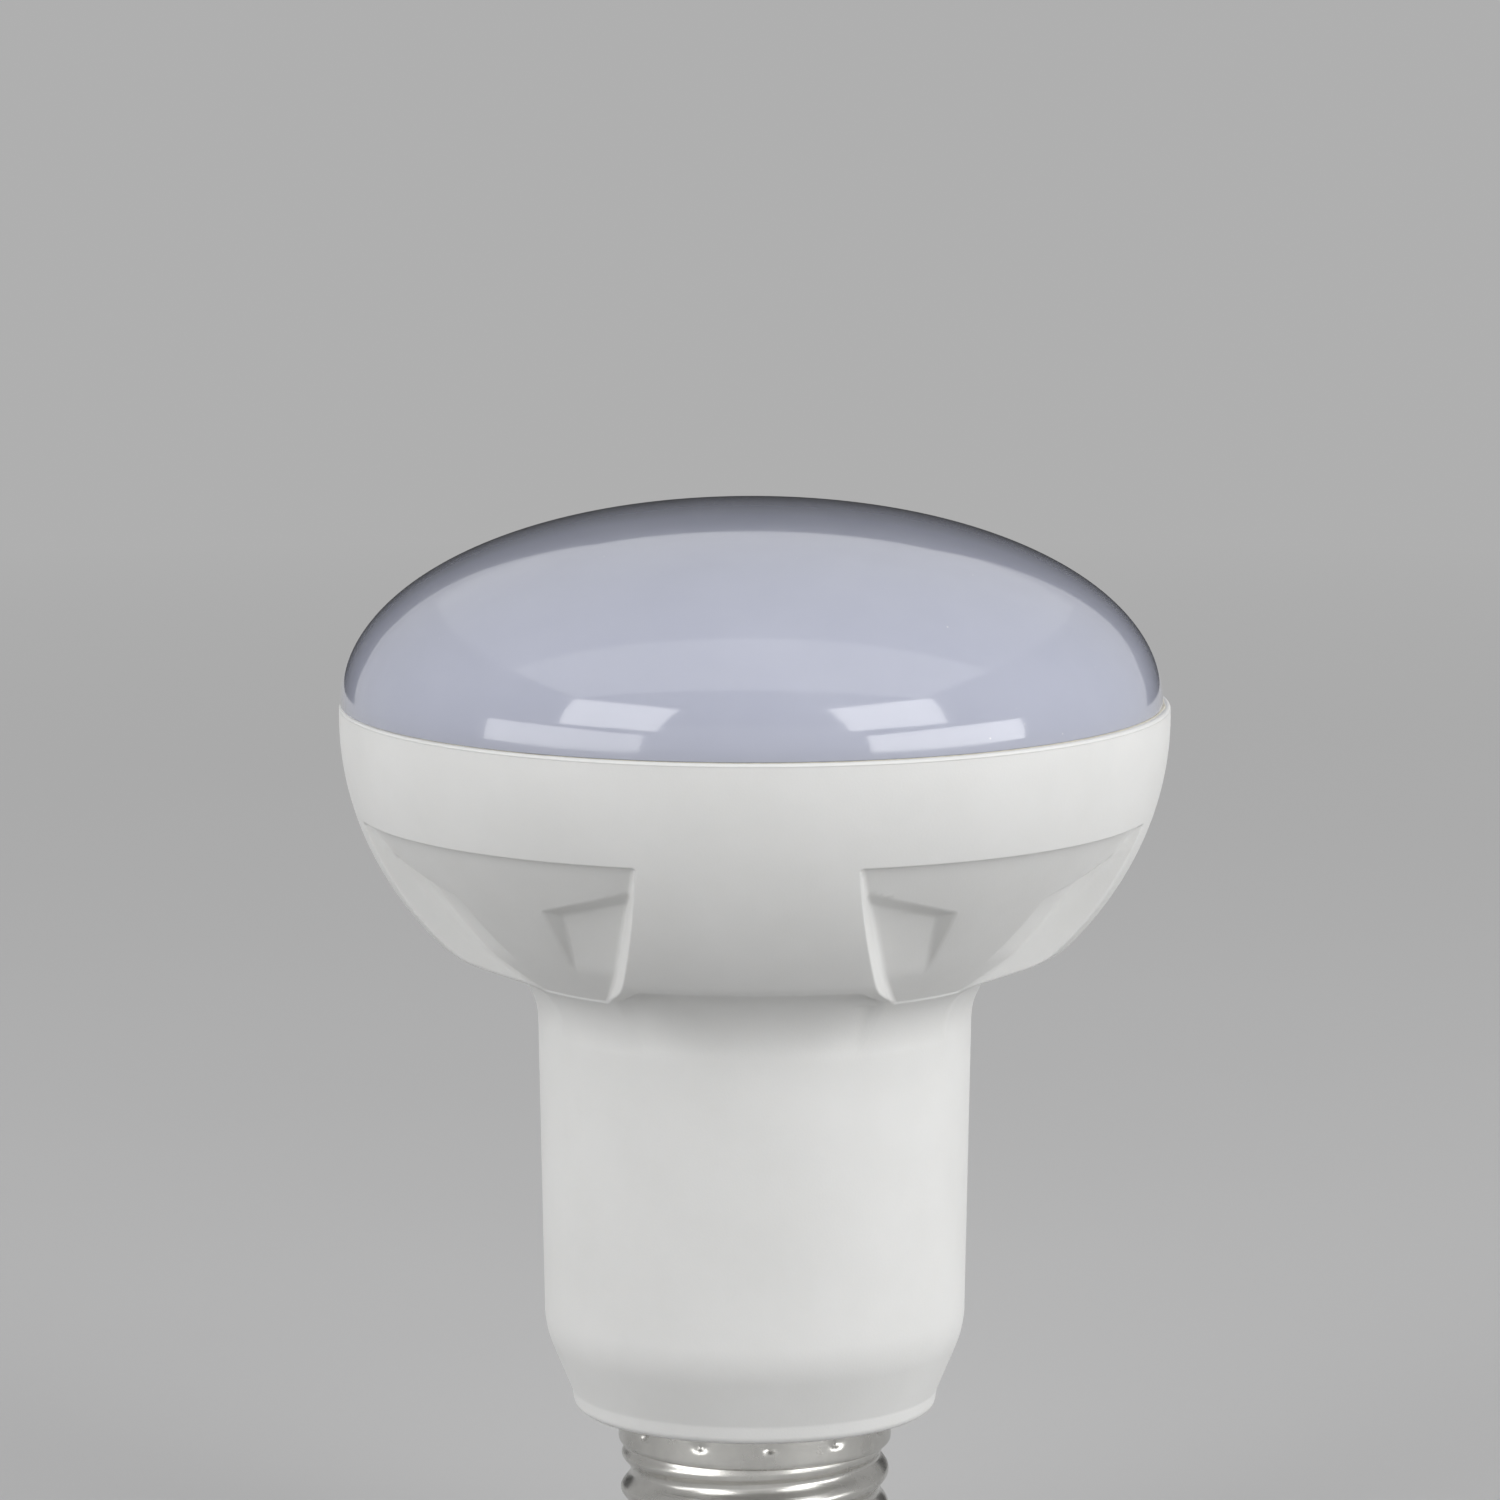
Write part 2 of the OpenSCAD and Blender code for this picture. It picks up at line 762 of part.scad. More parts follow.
// Drum inductor: a ferrite drum with its winding between the flanges
drum_d = 7;
drum_h = 8;
drum_flange_t = 1.2;
drum_neck_d = 3;
winding_d = 6.2;
winding_gap = 0.1;
inductor_shares = [-0.54, 0.55];
module inductor_core() {
    color("dimgray")
        on_front(inductor_shares)
            rotate_extrude()
                polygon([[0, 0], [drum_d / 2, 0], [drum_d / 2, drum_flange_t],
                         [drum_neck_d / 2, drum_flange_t],
                         [drum_neck_d / 2, drum_h - drum_flange_t],
                         [drum_d / 2, drum_h - drum_flange_t], [drum_d / 2, drum_h],
                         [0, drum_h]]);
}

module inductor_coil() {
    color("peru")
        on_front(inductor_shares)
            rotate_extrude()
                translate([drum_neck_d / 2 + winding_gap, drum_flange_t + winding_gap])
                    square([(winding_d - drum_neck_d) / 2 - winding_gap,
                            drum_h - 2 * (drum_flange_t + winding_gap)]);
}

// Axial fusible resistor with its two leads bent down to the board
fuse_r = 1.5;
fuse_neck_r = 1.2;
fuse_l = 6.6;
fuse_cap_l = 1.4;
fuse_lead_r = 0.35;
fuse_lead_l = 1.5;
fuse_gap = 0.3;
fuse_shares = [0, 0.11];
module fuse_resistor() {
    rise = fuse_r + fuse_gap;
    span = fuse_l / 2 + fuse_lead_l;
    color("tan")
        on_front(fuse_shares) {
            translate([-fuse_l / 2, 0, rise])
                rotate([0, 90, 0])
                    rotate_extrude()
                        polygon([[0, 0], [fuse_r, 0], [fuse_r, fuse_cap_l],
                                 [fuse_neck_r, fuse_cap_l + fuse_gap],
                                 [fuse_neck_r, fuse_l - fuse_cap_l - fuse_gap],
                                 [fuse_r, fuse_l - fuse_cap_l], [fuse_r, fuse_l], [0, fuse_l]]);
            translate([-span, 0, rise])
                rotate([0, 90, 0])
                    cylinder(r = fuse_lead_r, h = 2 * span);
            for (side = [-1, 1])
                translate([side * span, 0, 0])
                    cylinder(r = fuse_lead_r, h = rise + fuse_lead_r);
        }
}

// A moulded chip with gull-wing legs along two sides
leg_w = 0.45;
leg_t = 0.2;
leg_reach = 1.05;
chip_lift = 0.1;
module leaded_chip(length, width, height, legs, leg_pitch) {
    translate([-length / 2, -width / 2, chip_lift])
        cube([length, width, height]);
    for (side = [0, 1], i = [0:legs - 1])
        mirror([0, side, 0])
            translate([(i - (legs - 1) / 2) * leg_pitch + leg_w / 2, width / 2, 0])
                rotate([90, 0, -90])
                    linear_extrude(height = leg_w)
                        polygon([[leg_t, height / 2], [leg_t, height / 2 + leg_t],
                                 [-leg_reach / 2, height / 2 + leg_t],
                                 [-leg_reach / 2 - leg_t, leg_t], [-leg_reach, leg_t],
                                 [-leg_reach, 0], [-leg_reach / 2, 0],
                                 [-leg_reach / 2 + leg_t, height / 2]]);
}

rectifier_size = [4.7, 3.9, 2.4];
rectifier_legs = 2;
rectifier_pitch = 2.54;
rectifier_shares = [-0.39, 0.24];
module bridge_rectifier() {
    color("black")
        on_back(rectifier_shares)
            leaded_chip(rectifier_size[0], rectifier_size[1], rectifier_size[2],
                        rectifier_legs, rectifier_pitch);
}

driver_chip_size = [4.9, 3.9, 1.5];
driver_chip_legs = 4;
driver_chip_pitch = 1.27;
driver_chip_shares = [0.26, 0.43];
module driver_chip() {
    color("black")
        on_back(driver_chip_shares)
            leaded_chip(driver_chip_size[0], driver_chip_size[1], driver_chip_size[2],
                        driver_chip_legs, driver_chip_pitch);
}

// Chip resistors on the driver board's back, in two rows
resistor_size = [3.2, 1.6, 0.6];
resistor_shares = [-0.58, 0.46];
resistor_step_shares = [0.335, 0.07];
resistor_columns = 2;
resistor_rows = 3;
module chip_resistors() {
    color("black")
        for (i = [0:resistor_columns - 1], k = [0:resistor_rows - 1])
            on_back([resistor_shares[0] + i * resistor_step_shares[0],
                     resistor_shares[1] + k * resistor_step_shares[1]])
                translate([-resistor_size[0] / 2, -resistor_size[1] / 2, 0])
                    cube(resistor_size);
}

// The wires are soldered to the driver board's back, one length up from its
// edge. Levels on the way are shares of the height between the wire's two ends.
wire_y = driver_t / 2 + wire_d / 2;
solder_l = 3;
lead_spread = 2;
lead_level_shares = [0.45, 0.8];
module led_lead(side, shade) {
    x = side * lead_pitch / 2;
    board_x = x + side * lead_spread;
    rise = plate_top_z - driver_top_z;
    bow_y = 2 * wire_y;
    color(shade)
        wire(smoothed([[board_x, wire_y, driver_top_z - solder_l],
                       [board_x, wire_y, driver_top_z],
                       [x, bow_y, driver_top_z + rise * lead_level_shares[0]],
                       [x, wire_y, driver_top_z + rise * lead_level_shares[1]],
                       [x, wire_y, lead_z - wire_d / 2],
                       [x, terminal_y / 2, lead_z],
                       [x, terminal_y + lead_entry_depth - fit_gap, lead_z]]),
             wire_d, [1, 0, 0]);
}

module led_lead_red() {
    led_lead(1, "red");
}

module led_lead_black() {
    led_lead(-1, "#222222");
}

live_side_share = 0.26;
live_level_shares = [0.78, 0.5, 0.28];
module live_wire() {
    x = -driver_w / 2 * live_side_share;
    end_z = stem_floor_z + wire_d / 2;
    rise = driver_z - end_z;
    color("brown")
        wire(smoothed([[x, wire_y, driver_z + solder_l], [x, wire_y, driver_z],
                       [x * 3 / 4, 3 / 2 * wire_y, end_z + rise * live_level_shares[0]],
                       [x / 3, wire_y, end_z + rise * live_level_shares[1]],
                       [0, 0, end_z + rise * live_level_shares[2]],
                       [0, 0, (end_z + stem_top_z) / 2], [0, 0, end_z]]),
             wire_d, [0, 1, 0]);
}

neutral_level_shares = [0.72, 0.36, 0.15];
module neutral_wire() {
    x = driver_w / 2 * live_side_share;
    end_r = root_r - fit_gap;
    bore_x = spigot_bore_r - wire_d;
    turn_z = spigot_z + notch_h / 2;
    rise = driver_z - turn_z;
    color("steelblue")
        wire(smoothed([[x, wire_y, driver_z + solder_l], [x, wire_y, driver_z],
                       [(x + bore_x) / 2, 3 / 2 * wire_y, turn_z + rise * neutral_level_shares[0]],
                       [bore_x, wire_y / 2, turn_z + rise * neutral_level_shares[1]],
                       [bore_x, 0, turn_z + rise * neutral_level_shares[2]],
                       [spigot_bore_r - wire_d / 2, 0, turn_z],
                       [spigot_bore_r + wire_d / 2, 0, turn_z], [end_r, 0, turn_z]]),
             wire_d, [0, 1, 0]);
}

// Screw shell: rolled from thin sheet into a round knuckle thread. It runs
// out at both ends, closes in over the insulator and opens into the skirt.
shell_sides = 36;
rows_per_turn = 10;
shell_foot_r = 10.9;
foot_h = 2.2;
fade_h = 1.6;
web_r = spigot_r + fit_gap + sheet_t;
shell_top_z = skirt_z + shoulder_t / 2;
shell_rows = ceil((shell_top_z - shell_foot_z) / pitch * rows_per_turn);

// Eases from 0 to 1 as x goes from 0 to 1
function ease(x) = let (s = min(max(x, 0), 1)) s * s * (3 - 2 * s);

function shell_r(z, a) =
    let (
        mean_r = (thread_d - thread_depth) / 2,
        foot_share = min((z - shell_foot_z) / foot_h, 1),
        rise = ease((z - shell_foot_z - foot_h / 2) / fade_h),
        fall = ease((skirt_z - z) / fade_h),
        wave = sin(360 * z / pitch - a)
    )
    shell_foot_r + (mean_r - shell_foot_r) * sin(90 * foot_share)
        + thread_depth / 2 * wave * rise * fall;

module thread_tube() {
    points = [
        for (inset = [0, sheet_t], i = [0:shell_rows], k = [0:shell_sides - 1])
            let (
                z = shell_foot_z + (shell_top_z - shell_foot_z) * i / shell_rows,
                a = k * 360 / shell_sides,
                r = shell_r(z, a) - inset
            )
            [r * cos(a), r * sin(a), z]
    ];
    inside = (shell_rows + 1) * shell_sides;
    faces = [
        for (i = [0:shell_rows - 1], k = [0:shell_sides - 1])
            let (
                n = (k + 1) % shell_sides,
                a = i * shell_sides,
                b = a + shell_sides
            )
            each [
                [a + k, b + k, b + n], [a + k, b + n, a + n],
                [inside + a + k, inside + b + n, inside + b + k],
                [inside + a + k, inside + a + n, inside + b + n]
            ]
    ];
    rims = [
        for (k = [0:shell_sides - 1])
            let (
                n = (k + 1) % shell_sides,
                top = shell_rows * shell_sides
            )
            each [
                [k, n, inside + n], [k, inside + n, inside + k],
                [top + k, inside + top + n, top + n],
                [top + k, inside + top + k, inside + top + n]
            ]
    ];
    polyhedron(points, concat(faces, rims));
}

module cap_shell() {
    inner_r = skirt_r - sheet_t;
    color("lightgray") {
        thread_tube();
        rotate_extrude()
            polygon([[web_r, skirt_z], [inner_r, skirt_z], [skirt_r, skirt_z + sheet_t],
                     [skirt_r, cap_h], [inner_r, cap_h],
                     [inner_r, skirt_z + shoulder_t], [web_r, skirt_z + shoulder_t]]);
    }
}

// Insulator in the shell's lower end, with a hole for the contact's stem
contact_h = 1;
stem_r = 2;
stem_bore_r = 1.2;
stem_top_z = 6;
insulator_foot_r = 5.6;
insulator_edge_r = 10.3;
insulator_seat_r = 10.5;
insulator_top_r = 11.1;
insulator_wall = 2;
module cap_insulator() {
    hole_r = stem_r + seal_gap;
    inner_r = insulator_top_r - insulator_wall;
    color("#1a1a1a")
        rotate_extrude()
            polygon([[hole_r, contact_h], [insulator_foot_r, contact_h],
                     [insulator_edge_r, shell_foot_z - fit_gap],
                     [insulator_edge_r, shell_foot_z + fit_gap],
                     [insulator_top_r, shell_foot_z + foot_h],
                     [insulator_top_r, insulator_top_z], [inner_r, insulator_top_z],
                     [insulator_foot_r, contact_h + insulator_wall],
                     [hole_r + fit_gap, contact_h + insulator_wall],
                     [hole_r + fit_gap, stem_top_z - contact_h], [hole_r, stem_top_z - contact_h]]);
}

// Centre contact: a rivet with a hollow stem that takes the live wire
contact_round = 0.4;
stem_floor_z = 1.2;
module centre_contact() {
    r = contact_d / 2;
    color("goldenrod")
        rotate_extrude()
            polygon([[0, 0], [r - contact_round, 0], [r, contact_round], [r, contact_h],
                     [stem_r, contact_h], [stem_r, stem_top_z], [stem_bore_r, stem_top_z],
                     [stem_bore_r, stem_floor_z], [0, stem_floor_z]]);
}

diffuser();
housing();
sealant_bead();
heat_sink();
led_board();
led_chips();
board_screws();
lead_terminal();
led_lead_red();
led_lead_black();
driver_board();
transformer_core();
transformer_coil();
input_capacitor();
output_capacitor();
film_capacitor();
inductor_core();
inductor_coil();
fuse_resistor();
bridge_rectifier();
driver_chip();
chip_resistors();
live_wire();
neutral_wire();
cap_shell();
cap_insulator();
centre_contact();
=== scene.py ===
"""An LED reflector lamp: a milky domed diffuser on a white moulded housing, with a screw cap."""
import math

import bpy
import numpy as np
from mathutils import Matrix, Vector


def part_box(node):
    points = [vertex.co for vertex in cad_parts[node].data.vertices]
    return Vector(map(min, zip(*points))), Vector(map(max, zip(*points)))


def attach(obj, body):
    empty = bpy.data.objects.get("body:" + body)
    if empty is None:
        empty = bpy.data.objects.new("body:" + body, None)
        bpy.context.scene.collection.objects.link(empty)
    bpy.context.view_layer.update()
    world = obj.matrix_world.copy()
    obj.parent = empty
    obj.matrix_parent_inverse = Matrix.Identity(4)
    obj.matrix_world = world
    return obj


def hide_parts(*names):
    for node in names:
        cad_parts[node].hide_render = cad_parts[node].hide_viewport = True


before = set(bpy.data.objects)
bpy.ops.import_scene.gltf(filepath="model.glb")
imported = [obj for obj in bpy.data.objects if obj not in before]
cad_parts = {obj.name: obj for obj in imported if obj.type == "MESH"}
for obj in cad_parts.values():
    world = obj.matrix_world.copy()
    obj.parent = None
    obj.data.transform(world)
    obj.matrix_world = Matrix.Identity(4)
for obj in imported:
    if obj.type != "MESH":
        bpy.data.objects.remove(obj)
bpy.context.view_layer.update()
MM = 0.001
DEG = math.radians(1)
TINY = 1e-6

# Sizes in millimetres. Those of the head and the cap come from the frame.
HOUSING_BOX = [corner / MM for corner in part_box("housing")]
CAP_BOX = [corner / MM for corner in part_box("cap_shell")]
LENS_BOX = [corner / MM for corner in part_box("diffuser")]
HEAD_R = HOUSING_BOX[1].x
RIM_Z = HOUSING_BOX[1].z
CAP_H = CAP_BOX[1].z
SKIRT_R = CAP_BOX[1].x
SHELL_FOOT_Z = CAP_BOX[0].z
DOME_H = LENS_BOX[1].z - RIM_Z
LENS_R = (LENS_BOX[1].x - LENS_BOX[0].x) / 2
LENS_SKIRT_Z = LENS_BOX[0].z
LENS_X = (LENS_BOX[0].x + LENS_BOX[1].x) / 2

# The bowl's outline, with its levels measured from the rim
RIM_LAND_H = 1.2
RIM_ROUND = 0.4
BOWL_CURVE_H = 33.7
BOWL_H = 23.4
BAND_H = 10.2
UNDERSIDE_SLOPE = math.radians(20.7)
PAD_EDGE_ROUND = 0.45

# The pads, the panels between them, the pockets and the recesses under the pads
PAD_W = 20.2
PAD_FLARE = math.radians(10)
PANEL_STEP = 0.7
PANEL_BULGE = 0.85
PANEL_FOOT_W = 2.8
CREST_ROUND = 0.16
FOOT_ROUND = 0.32
BAND_FOOT_ROUND = 0.16
POCKET_DEPTH = 1.2
POCKET_REACH = 1.5 * POCKET_DEPTH
POCKET_H = 6.4
POCKET_DROP = 5.6
POCKET_OUT = 4.0
POCKET_TURN = math.radians(28)
POCKET_RISE = math.radians(15)
POCKET_TOP_DRAFT = math.radians(36)
POCKET_SIDE_DRAFT = math.radians(54)
POCKET_ROUND = 0.16
POCKET_CLEAR = 1.0
CONE_OVERRUN = 1.0
PAD_LEG_W = 1.6
RECESS_SLOPE = math.radians(8)
RECESS_FLARE = math.radians(13)
RECESS_ROUND = 7.0
LEG_ROUND = 0.35
LEG_EDGE_ROUND = 0.2
LEG_FADE_W = 5.0
LEG_FADE_ROUND = 2.4

# The neck
NECK_TOP_R = 21.05
NECK_LOW_R = 20.4
NECK_FILLET = 6.3
CORNER_ROUND = 10.0
TAPER_H = 8.0
TAIL_TOP_R = 17.8
TAIL_R = 17.5
TAIL_H = 1.8
TAIL_CREASE = 1.5
EDGE_ROUND = 0.9

# Walls, and what fits inside them
WALL = 2.0
RIM_WALL = 1.6
SOCKET_R = HEAD_R - RIM_WALL
SEAL_W = 0.6
LEDGE_DEPTH = 6.5
LEDGE_W = 2.4
FLOOR_T = 2.0
FLOOR_Z = CAP_H + FLOOR_T
SPIGOT_Z = 8.2
SPIGOT_R = 11.63
SPIGOT_WALL = 1.7
COLLAR_R = 12.9
COLLAR_Z = CAP_H - 3.0
NOTCH_W = 2.2
NOTCH_H = 2.6
DRIVER_HALF_W = 15.5
GUIDE_H = 32.6
GUIDE_GRIP = 2.2
GUIDE_Y = 0.75
GUIDE_W = 1.4
CAN_END_H = 0.25

# The diffuser
DOME_FULLNESS = 2.08
LENS_WALL = 1.6
LENS_SKIRT_T = 1.4
LENS_SKIRT_R = SOCKET_R - 0.35
LENS_SKIRT_ROUND = 0.3
LENS_SEAT_GAP = 0.02
LENS_LAND_W = 0.15
LENS_LAND_H = 0.1

# The sealant, squeezed out of its groove
SEAL_GAP = 0.05
SEAL_DEPTH = 0.5
SEAL_H = 0.05
SPILL_H = 0.07
SPILL_W = 0.09
SPILL_SHARE = 0.3
SPILL_GAP = 0.5
SEAL_EDGE_W = 0.34
SEAL_LAP = 0.2
SEAL_RISE_SHARES = (0.55, 1.0, 0.9)

# The screw cap
THREAD_R = 13.1
THREAD_DEPTH = 0.97
THREAD_PITCH = 3.629
SHEET_T = 0.3
SKIRT_Z = CAP_H - 3.6
SHOULDER_W = 1.05
SHOULDER_ROUND = 0.5
SHOULDER_STEP = 0.02
LIP_ROUND = 0.12
SHELL_FOOT_R = 10.9
FOOT_H = 2.2
FADE_H = 1.6
PUNCHES = 12
PUNCH_R = 0.75
PUNCH_DEPTH = 0.38
PUNCH_Z = (SKIRT_Z + CAP_H) / 2 + 0.35

# The insulator and the centre contact
GLASS_FACE_R = 5.6
GLASS_GROOVE = ((8.0, 2.85), (8.25, 3.15))
GLASS_EDGE_R = 10.3
GLASS_EDGE_LOW_Z = 4.8
GLASS_EDGE_TOP_Z = 5.2
GLASS_R = 11.1
GLASS_LOW_Z = 7.2
GLASS_TOP_Z = 8.0
GLASS_INNER_R = 9.1
GLASS_WEB_Z = 3.0
GLASS_BOSS_Z = 5.0
GLASS_BOSS_W = 0.2
GLASS_FACE_ROUND = 0.5
GLASS_EDGE_ROUND = 0.15
GLASS_WEB_ROUND = 0.6
CONTACT_R = 4.8
CONTACT_H = 1.0
CONTACT_FLAT_R = 3.2
CONTACT_ROUND = 0.45
CONTACT_EDGE_ROUND = 0.2
CONTACT_DIMPLE = ((0.0, 0.28), (0.9, 0.24), (1.5, 0.1), (1.9, 0.0))
STEM_R = 2.0
STEM_BORE_R = 1.2
STEM_FLOOR_Z = 1.2
STEM_TOP_Z = 6.0
STEM_GAP = 0.05
CHAMFER = 0.1

BODY = "root"

# The greys of the room: as seen, as the floor bounces light, and the light from all round
BACKGROUND = (0.43, 0.43, 0.43)
BOUNCE = (0.28, 0.28, 0.28)
AMBIENT = (0.03, 0.03, 0.033)

# The floor, and where its paper fades into the even grey
FLOOR_R_M = 7.0
FLOOR_DROP_M = 0.0001
FADE_START = 150
FADE_END = 900

# A black card that stands behind the lamp, with its outline in metres
CARD_Y = 1.0
CARD_OUTLINE = [(-0.75, 0), (0.75, 0), (0.68, 0.24), (0.50, 0.36), (0.33, 0.50), (0.18, 0.61),
                (-0.18, 0.61), (-0.33, 0.50), (-0.52, 0.42), (-0.70, 0.26)]

# The camera, in degrees, millimetres and pixels of the photograph
PHOTO_PX = 1500
FOCAL_PX = 7525
SENSOR_W = 36
VIEW_TURN = 1.05
VIEW_PITCH = 8.58
VIEW_DISTANCE = 717.3
VIEW_RISE = 103.5
VIEW_LEFT = 0.46


# Meshes

def make_piece(name, points, faces, loop_normals, replaced):
    """A smooth piece from points in millimetres, with its own normals where they are given."""
    mesh = bpy.data.meshes.new(name)
    mesh.from_pydata((np.asarray(points) * MM).tolist(), [], faces)
    mesh.update()
    mesh.polygons.foreach_set("use_smooth", [True] * len(mesh.polygons))
    if loop_normals is not None:
        mesh.normals_split_custom_set(np.asarray(loop_normals).tolist())
    piece = bpy.data.objects.new(name, mesh)
    bpy.context.scene.collection.objects.link(piece)
    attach(piece, BODY)
    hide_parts(replaced)
    return piece


def circled(r, z, turn):
    """Points or directions with a radius and a level, at all azimuths of a turn."""
    return np.stack([r * np.cos(turn), r * np.sin(turn), z + 0 * turn], axis=1)


def whole_turn(columns):
    return np.linspace(0, 2 * math.pi, columns, endpoint=False)


def profile_normals(profile, ring, sharp=32):
    """Normals in the half section at the start and the end of each step of a profile, which
    run smoothly over corners of fewer degrees than sharp."""
    p = np.asarray(profile, float)
    step = (np.roll(p, -1, axis=0) if ring else p[1:]) - (p if ring else p[:-1])
    length = np.maximum(np.linalg.norm(step, axis=1), TINY)[:, None]
    flat = np.stack([step[:, 1], -step[:, 0]], axis=1) / length
    start, end = flat.copy(), flat.copy()
    count = len(flat)
    for i in range(count):
        j = (i + 1) % count
        if j == 0 and not ring:
            continue
        if float(flat[i] @ flat[j]) > math.cos(math.radians(sharp)):
            mean = flat[i] / length[j] + flat[j] / length[i]
            end[i] = start[j] = mean / np.linalg.norm(mean)
    return start, end


def turned(profile, columns, ring=False):
    """A half section turned about the axis. An open one starts and ends on the axis."""
    p = np.asarray(profile, float)
    start, end = profile_normals(p, ring)
    turn = whole_turn(columns)
    points, faces, normals = [], [], []
    rows = []
    for q in p:
        if q[0] < TINY:
            rows.append(([len(points)] * columns, True))
            points.append((0.0, 0.0, q[1]))
        else:
            rows.append((list(range(len(points), len(points) + columns)), False))
            points.extend(map(tuple, circled(*q, turn)))
    last = len(p) if ring else len(p) - 1
    for i in range(last):
        low, low_pole = rows[i]
        high, high_pole = rows[(i + 1) % len(p)]
        n_low, n_high = circled(*start[i], turn), circled(*end[i], turn)
        for k in range(columns):
            n = (k + 1) % columns
            corners = [(low[k], n_low[k]), (low[n], n_low[n]), (high[n], n_high[n]), (high[k], n_high[k])]
            if low_pole:
                corners.pop(1)
            elif high_pole:
                corners.pop(2)
            faces.append([c[0] for c in corners])
            normals.extend(c[1] for c in corners)
    return np.array(points), faces, normals


def ring_faces(rows, columns):
    """Faces of a closed tube whose rows are rings: the last row joins the first."""
    faces = []
    for i in range(rows):
        j = (i + 1) % rows
        for k in range(columns):
            n = (k + 1) % columns
            faces.append((i * columns + k, i * columns + n, j * columns + n, j * columns + k))
    return faces


def ring_normals(low, high):
    """Normals at the corners of such faces, from those on each row's upper and lower side."""
    after_low, after_high = np.roll(low, -1, axis=1), np.roll(high, -1, axis=1)
    return np.stack([low, after_low, after_high, high], axis=2).reshape(-1, 3)


def tube_piece(name, rings, turn, replaced):
    """A piece from rings of (radii, levels), the last of which joins the first."""
    points = np.concatenate([circled(r, z, turn) for r, z in rings])
    return make_piece(name, points, ring_faces(len(rings), len(turn)), None, replaced)


def round_corner(a, b, c, radius, steps):
    """Points of a round in the corner b between the lines to a and c."""
    a, b, c = (np.array(p, float) for p in (a, b, c))
    u = (a - b) / np.linalg.norm(a - b)
    v = (c - b) / np.linalg.norm(c - b)
    half = math.acos(float(u @ v)) / 2
    mid = b + (u + v) / np.linalg.norm(u + v) * radius / math.sin(half)
    p = b + u * radius / math.tan(half) - mid
    q = b + v * radius / math.tan(half) - mid
    first = math.atan2(p[1], p[0])
    sweep = (math.atan2(q[1], q[0]) - first + math.pi) % (2 * math.pi) - math.pi
    angles = [first + sweep * i / steps for i in range(steps + 1)]
    return [tuple(mid + radius * np.array([math.cos(t), math.sin(t)])) for t in angles]


def between(a, b, steps):
    """Points in even steps from a to b, without either."""
    a, b = np.array(a, float), np.array(b, float)
    return [tuple(a + (b - a) * i / steps) for i in range(1, steps)]


# Distances to the bowl's surfaces, negative inside the material. Radii are from
# the axis, levels from the rim, and all of them are numpy arrays.

def joined(a, b, radius):
    """Two solids together, with a fillet in the corner between them."""
    near = np.maximum(radius, np.minimum(a, b))
    return near - np.hypot(np.maximum(radius - a, 0), np.maximum(radius - b, 0))


def filleted(a, b, radius, lean):
    """Two solids together, with a round fillet. Lean is the cosine between their faces' normals."""
    u, v = radius - a, radius - b
    away = np.sqrt(np.maximum(u * u + v * v - 2 * u * v * lean, 0) / (1 - lean ** 2))
    inside = (u > v * lean) & (v > u * lean)
    return np.where(inside, radius - away, np.minimum(a, b))


def shared(a, b, radius):
    """What two solids have in common, with its edge rounded."""
    near = np.minimum(-radius, np.maximum(a, b))
    return near + np.hypot(np.maximum(radius + a, 0), np.maximum(radius + b, 0))


def bowl_r(z):
    """Radius of the bowl's outside at a level."""
    drop = np.clip(-RIM_LAND_H - np.asarray(z, float), 0, BOWL_H)
    return HEAD_R * np.sqrt(1 - (drop / BOWL_CURVE_H) ** 2)


PAD_EDGE = np.array([float(bowl_r(-BOWL_H)), -BOWL_H])
BAND_R = float(bowl_r(-BAND_H))


def underside_z(r):
    return PAD_EDGE[1] - (PAD_EDGE[0] - r) * math.tan(UNDERSIDE_SLOPE)


def roof_z(r):
    return PAD_EDGE[1] - (PAD_EDGE[0] - r) * math.tan(RECESS_SLOPE)


NECK_TOP_Z = underside_z(NECK_TOP_R)
NECK_LOW_Z = CAP_H + TAPER_H - RIM_Z
PANEL_TOP = np.array([BAND_R - PANEL_STEP, -BAND_H])
PANEL_END = np.array([NECK_TOP_R + PANEL_FOOT_W, underside_z(NECK_TOP_R + PANEL_FOOT_W)])
PANEL_CHORD = float(np.linalg.norm(PANEL_END - PANEL_TOP))
PANEL_ARC_R = PANEL_CHORD ** 2 / (8 * PANEL_BULGE) + PANEL_BULGE / 2
PANEL_OUT = np.array([PANEL_TOP[1] - PANEL_END[1], PANEL_END[0] - PANEL_TOP[0]]) / PANEL_CHORD
PANEL_MID = (PANEL_TOP + PANEL_END) / 2 - PANEL_OUT * (PANEL_ARC_R - PANEL_BULGE)


def panel_r(z, depth=0.0):
    """Radius of the panels' surface, or of one that lies a depth behind it, at a level."""
    return PANEL_MID[0] + np.sqrt((PANEL_ARC_R - depth) ** 2 - (PANEL_MID[1] - z) ** 2)


def bowl_distance(r, z):
    """To the land, the quarter ellipse below it, and its tangent past the pads' edge."""
    drop = np.maximum(-RIM_LAND_H - z, 0)
    q = np.maximum(np.hypot(r / HEAD_R, drop / BOWL_CURVE_H), TINY)
    steepness = np.hypot(r / HEAD_R ** 2, drop / BOWL_CURVE_H ** 2) / q
    curved = (q - 1) / np.maximum(steepness, TINY)
    normal = np.array([PAD_EDGE[0] / HEAD_R ** 2, (PAD_EDGE[1] + RIM_LAND_H) / BOWL_CURVE_H ** 2])
    normal /= np.linalg.norm(normal)
    straight = (r - PAD_EDGE[0]) * normal[0] + (z - PAD_EDGE[1]) * normal[1]
    return np.where(z < PAD_EDGE[1], straight, curved)


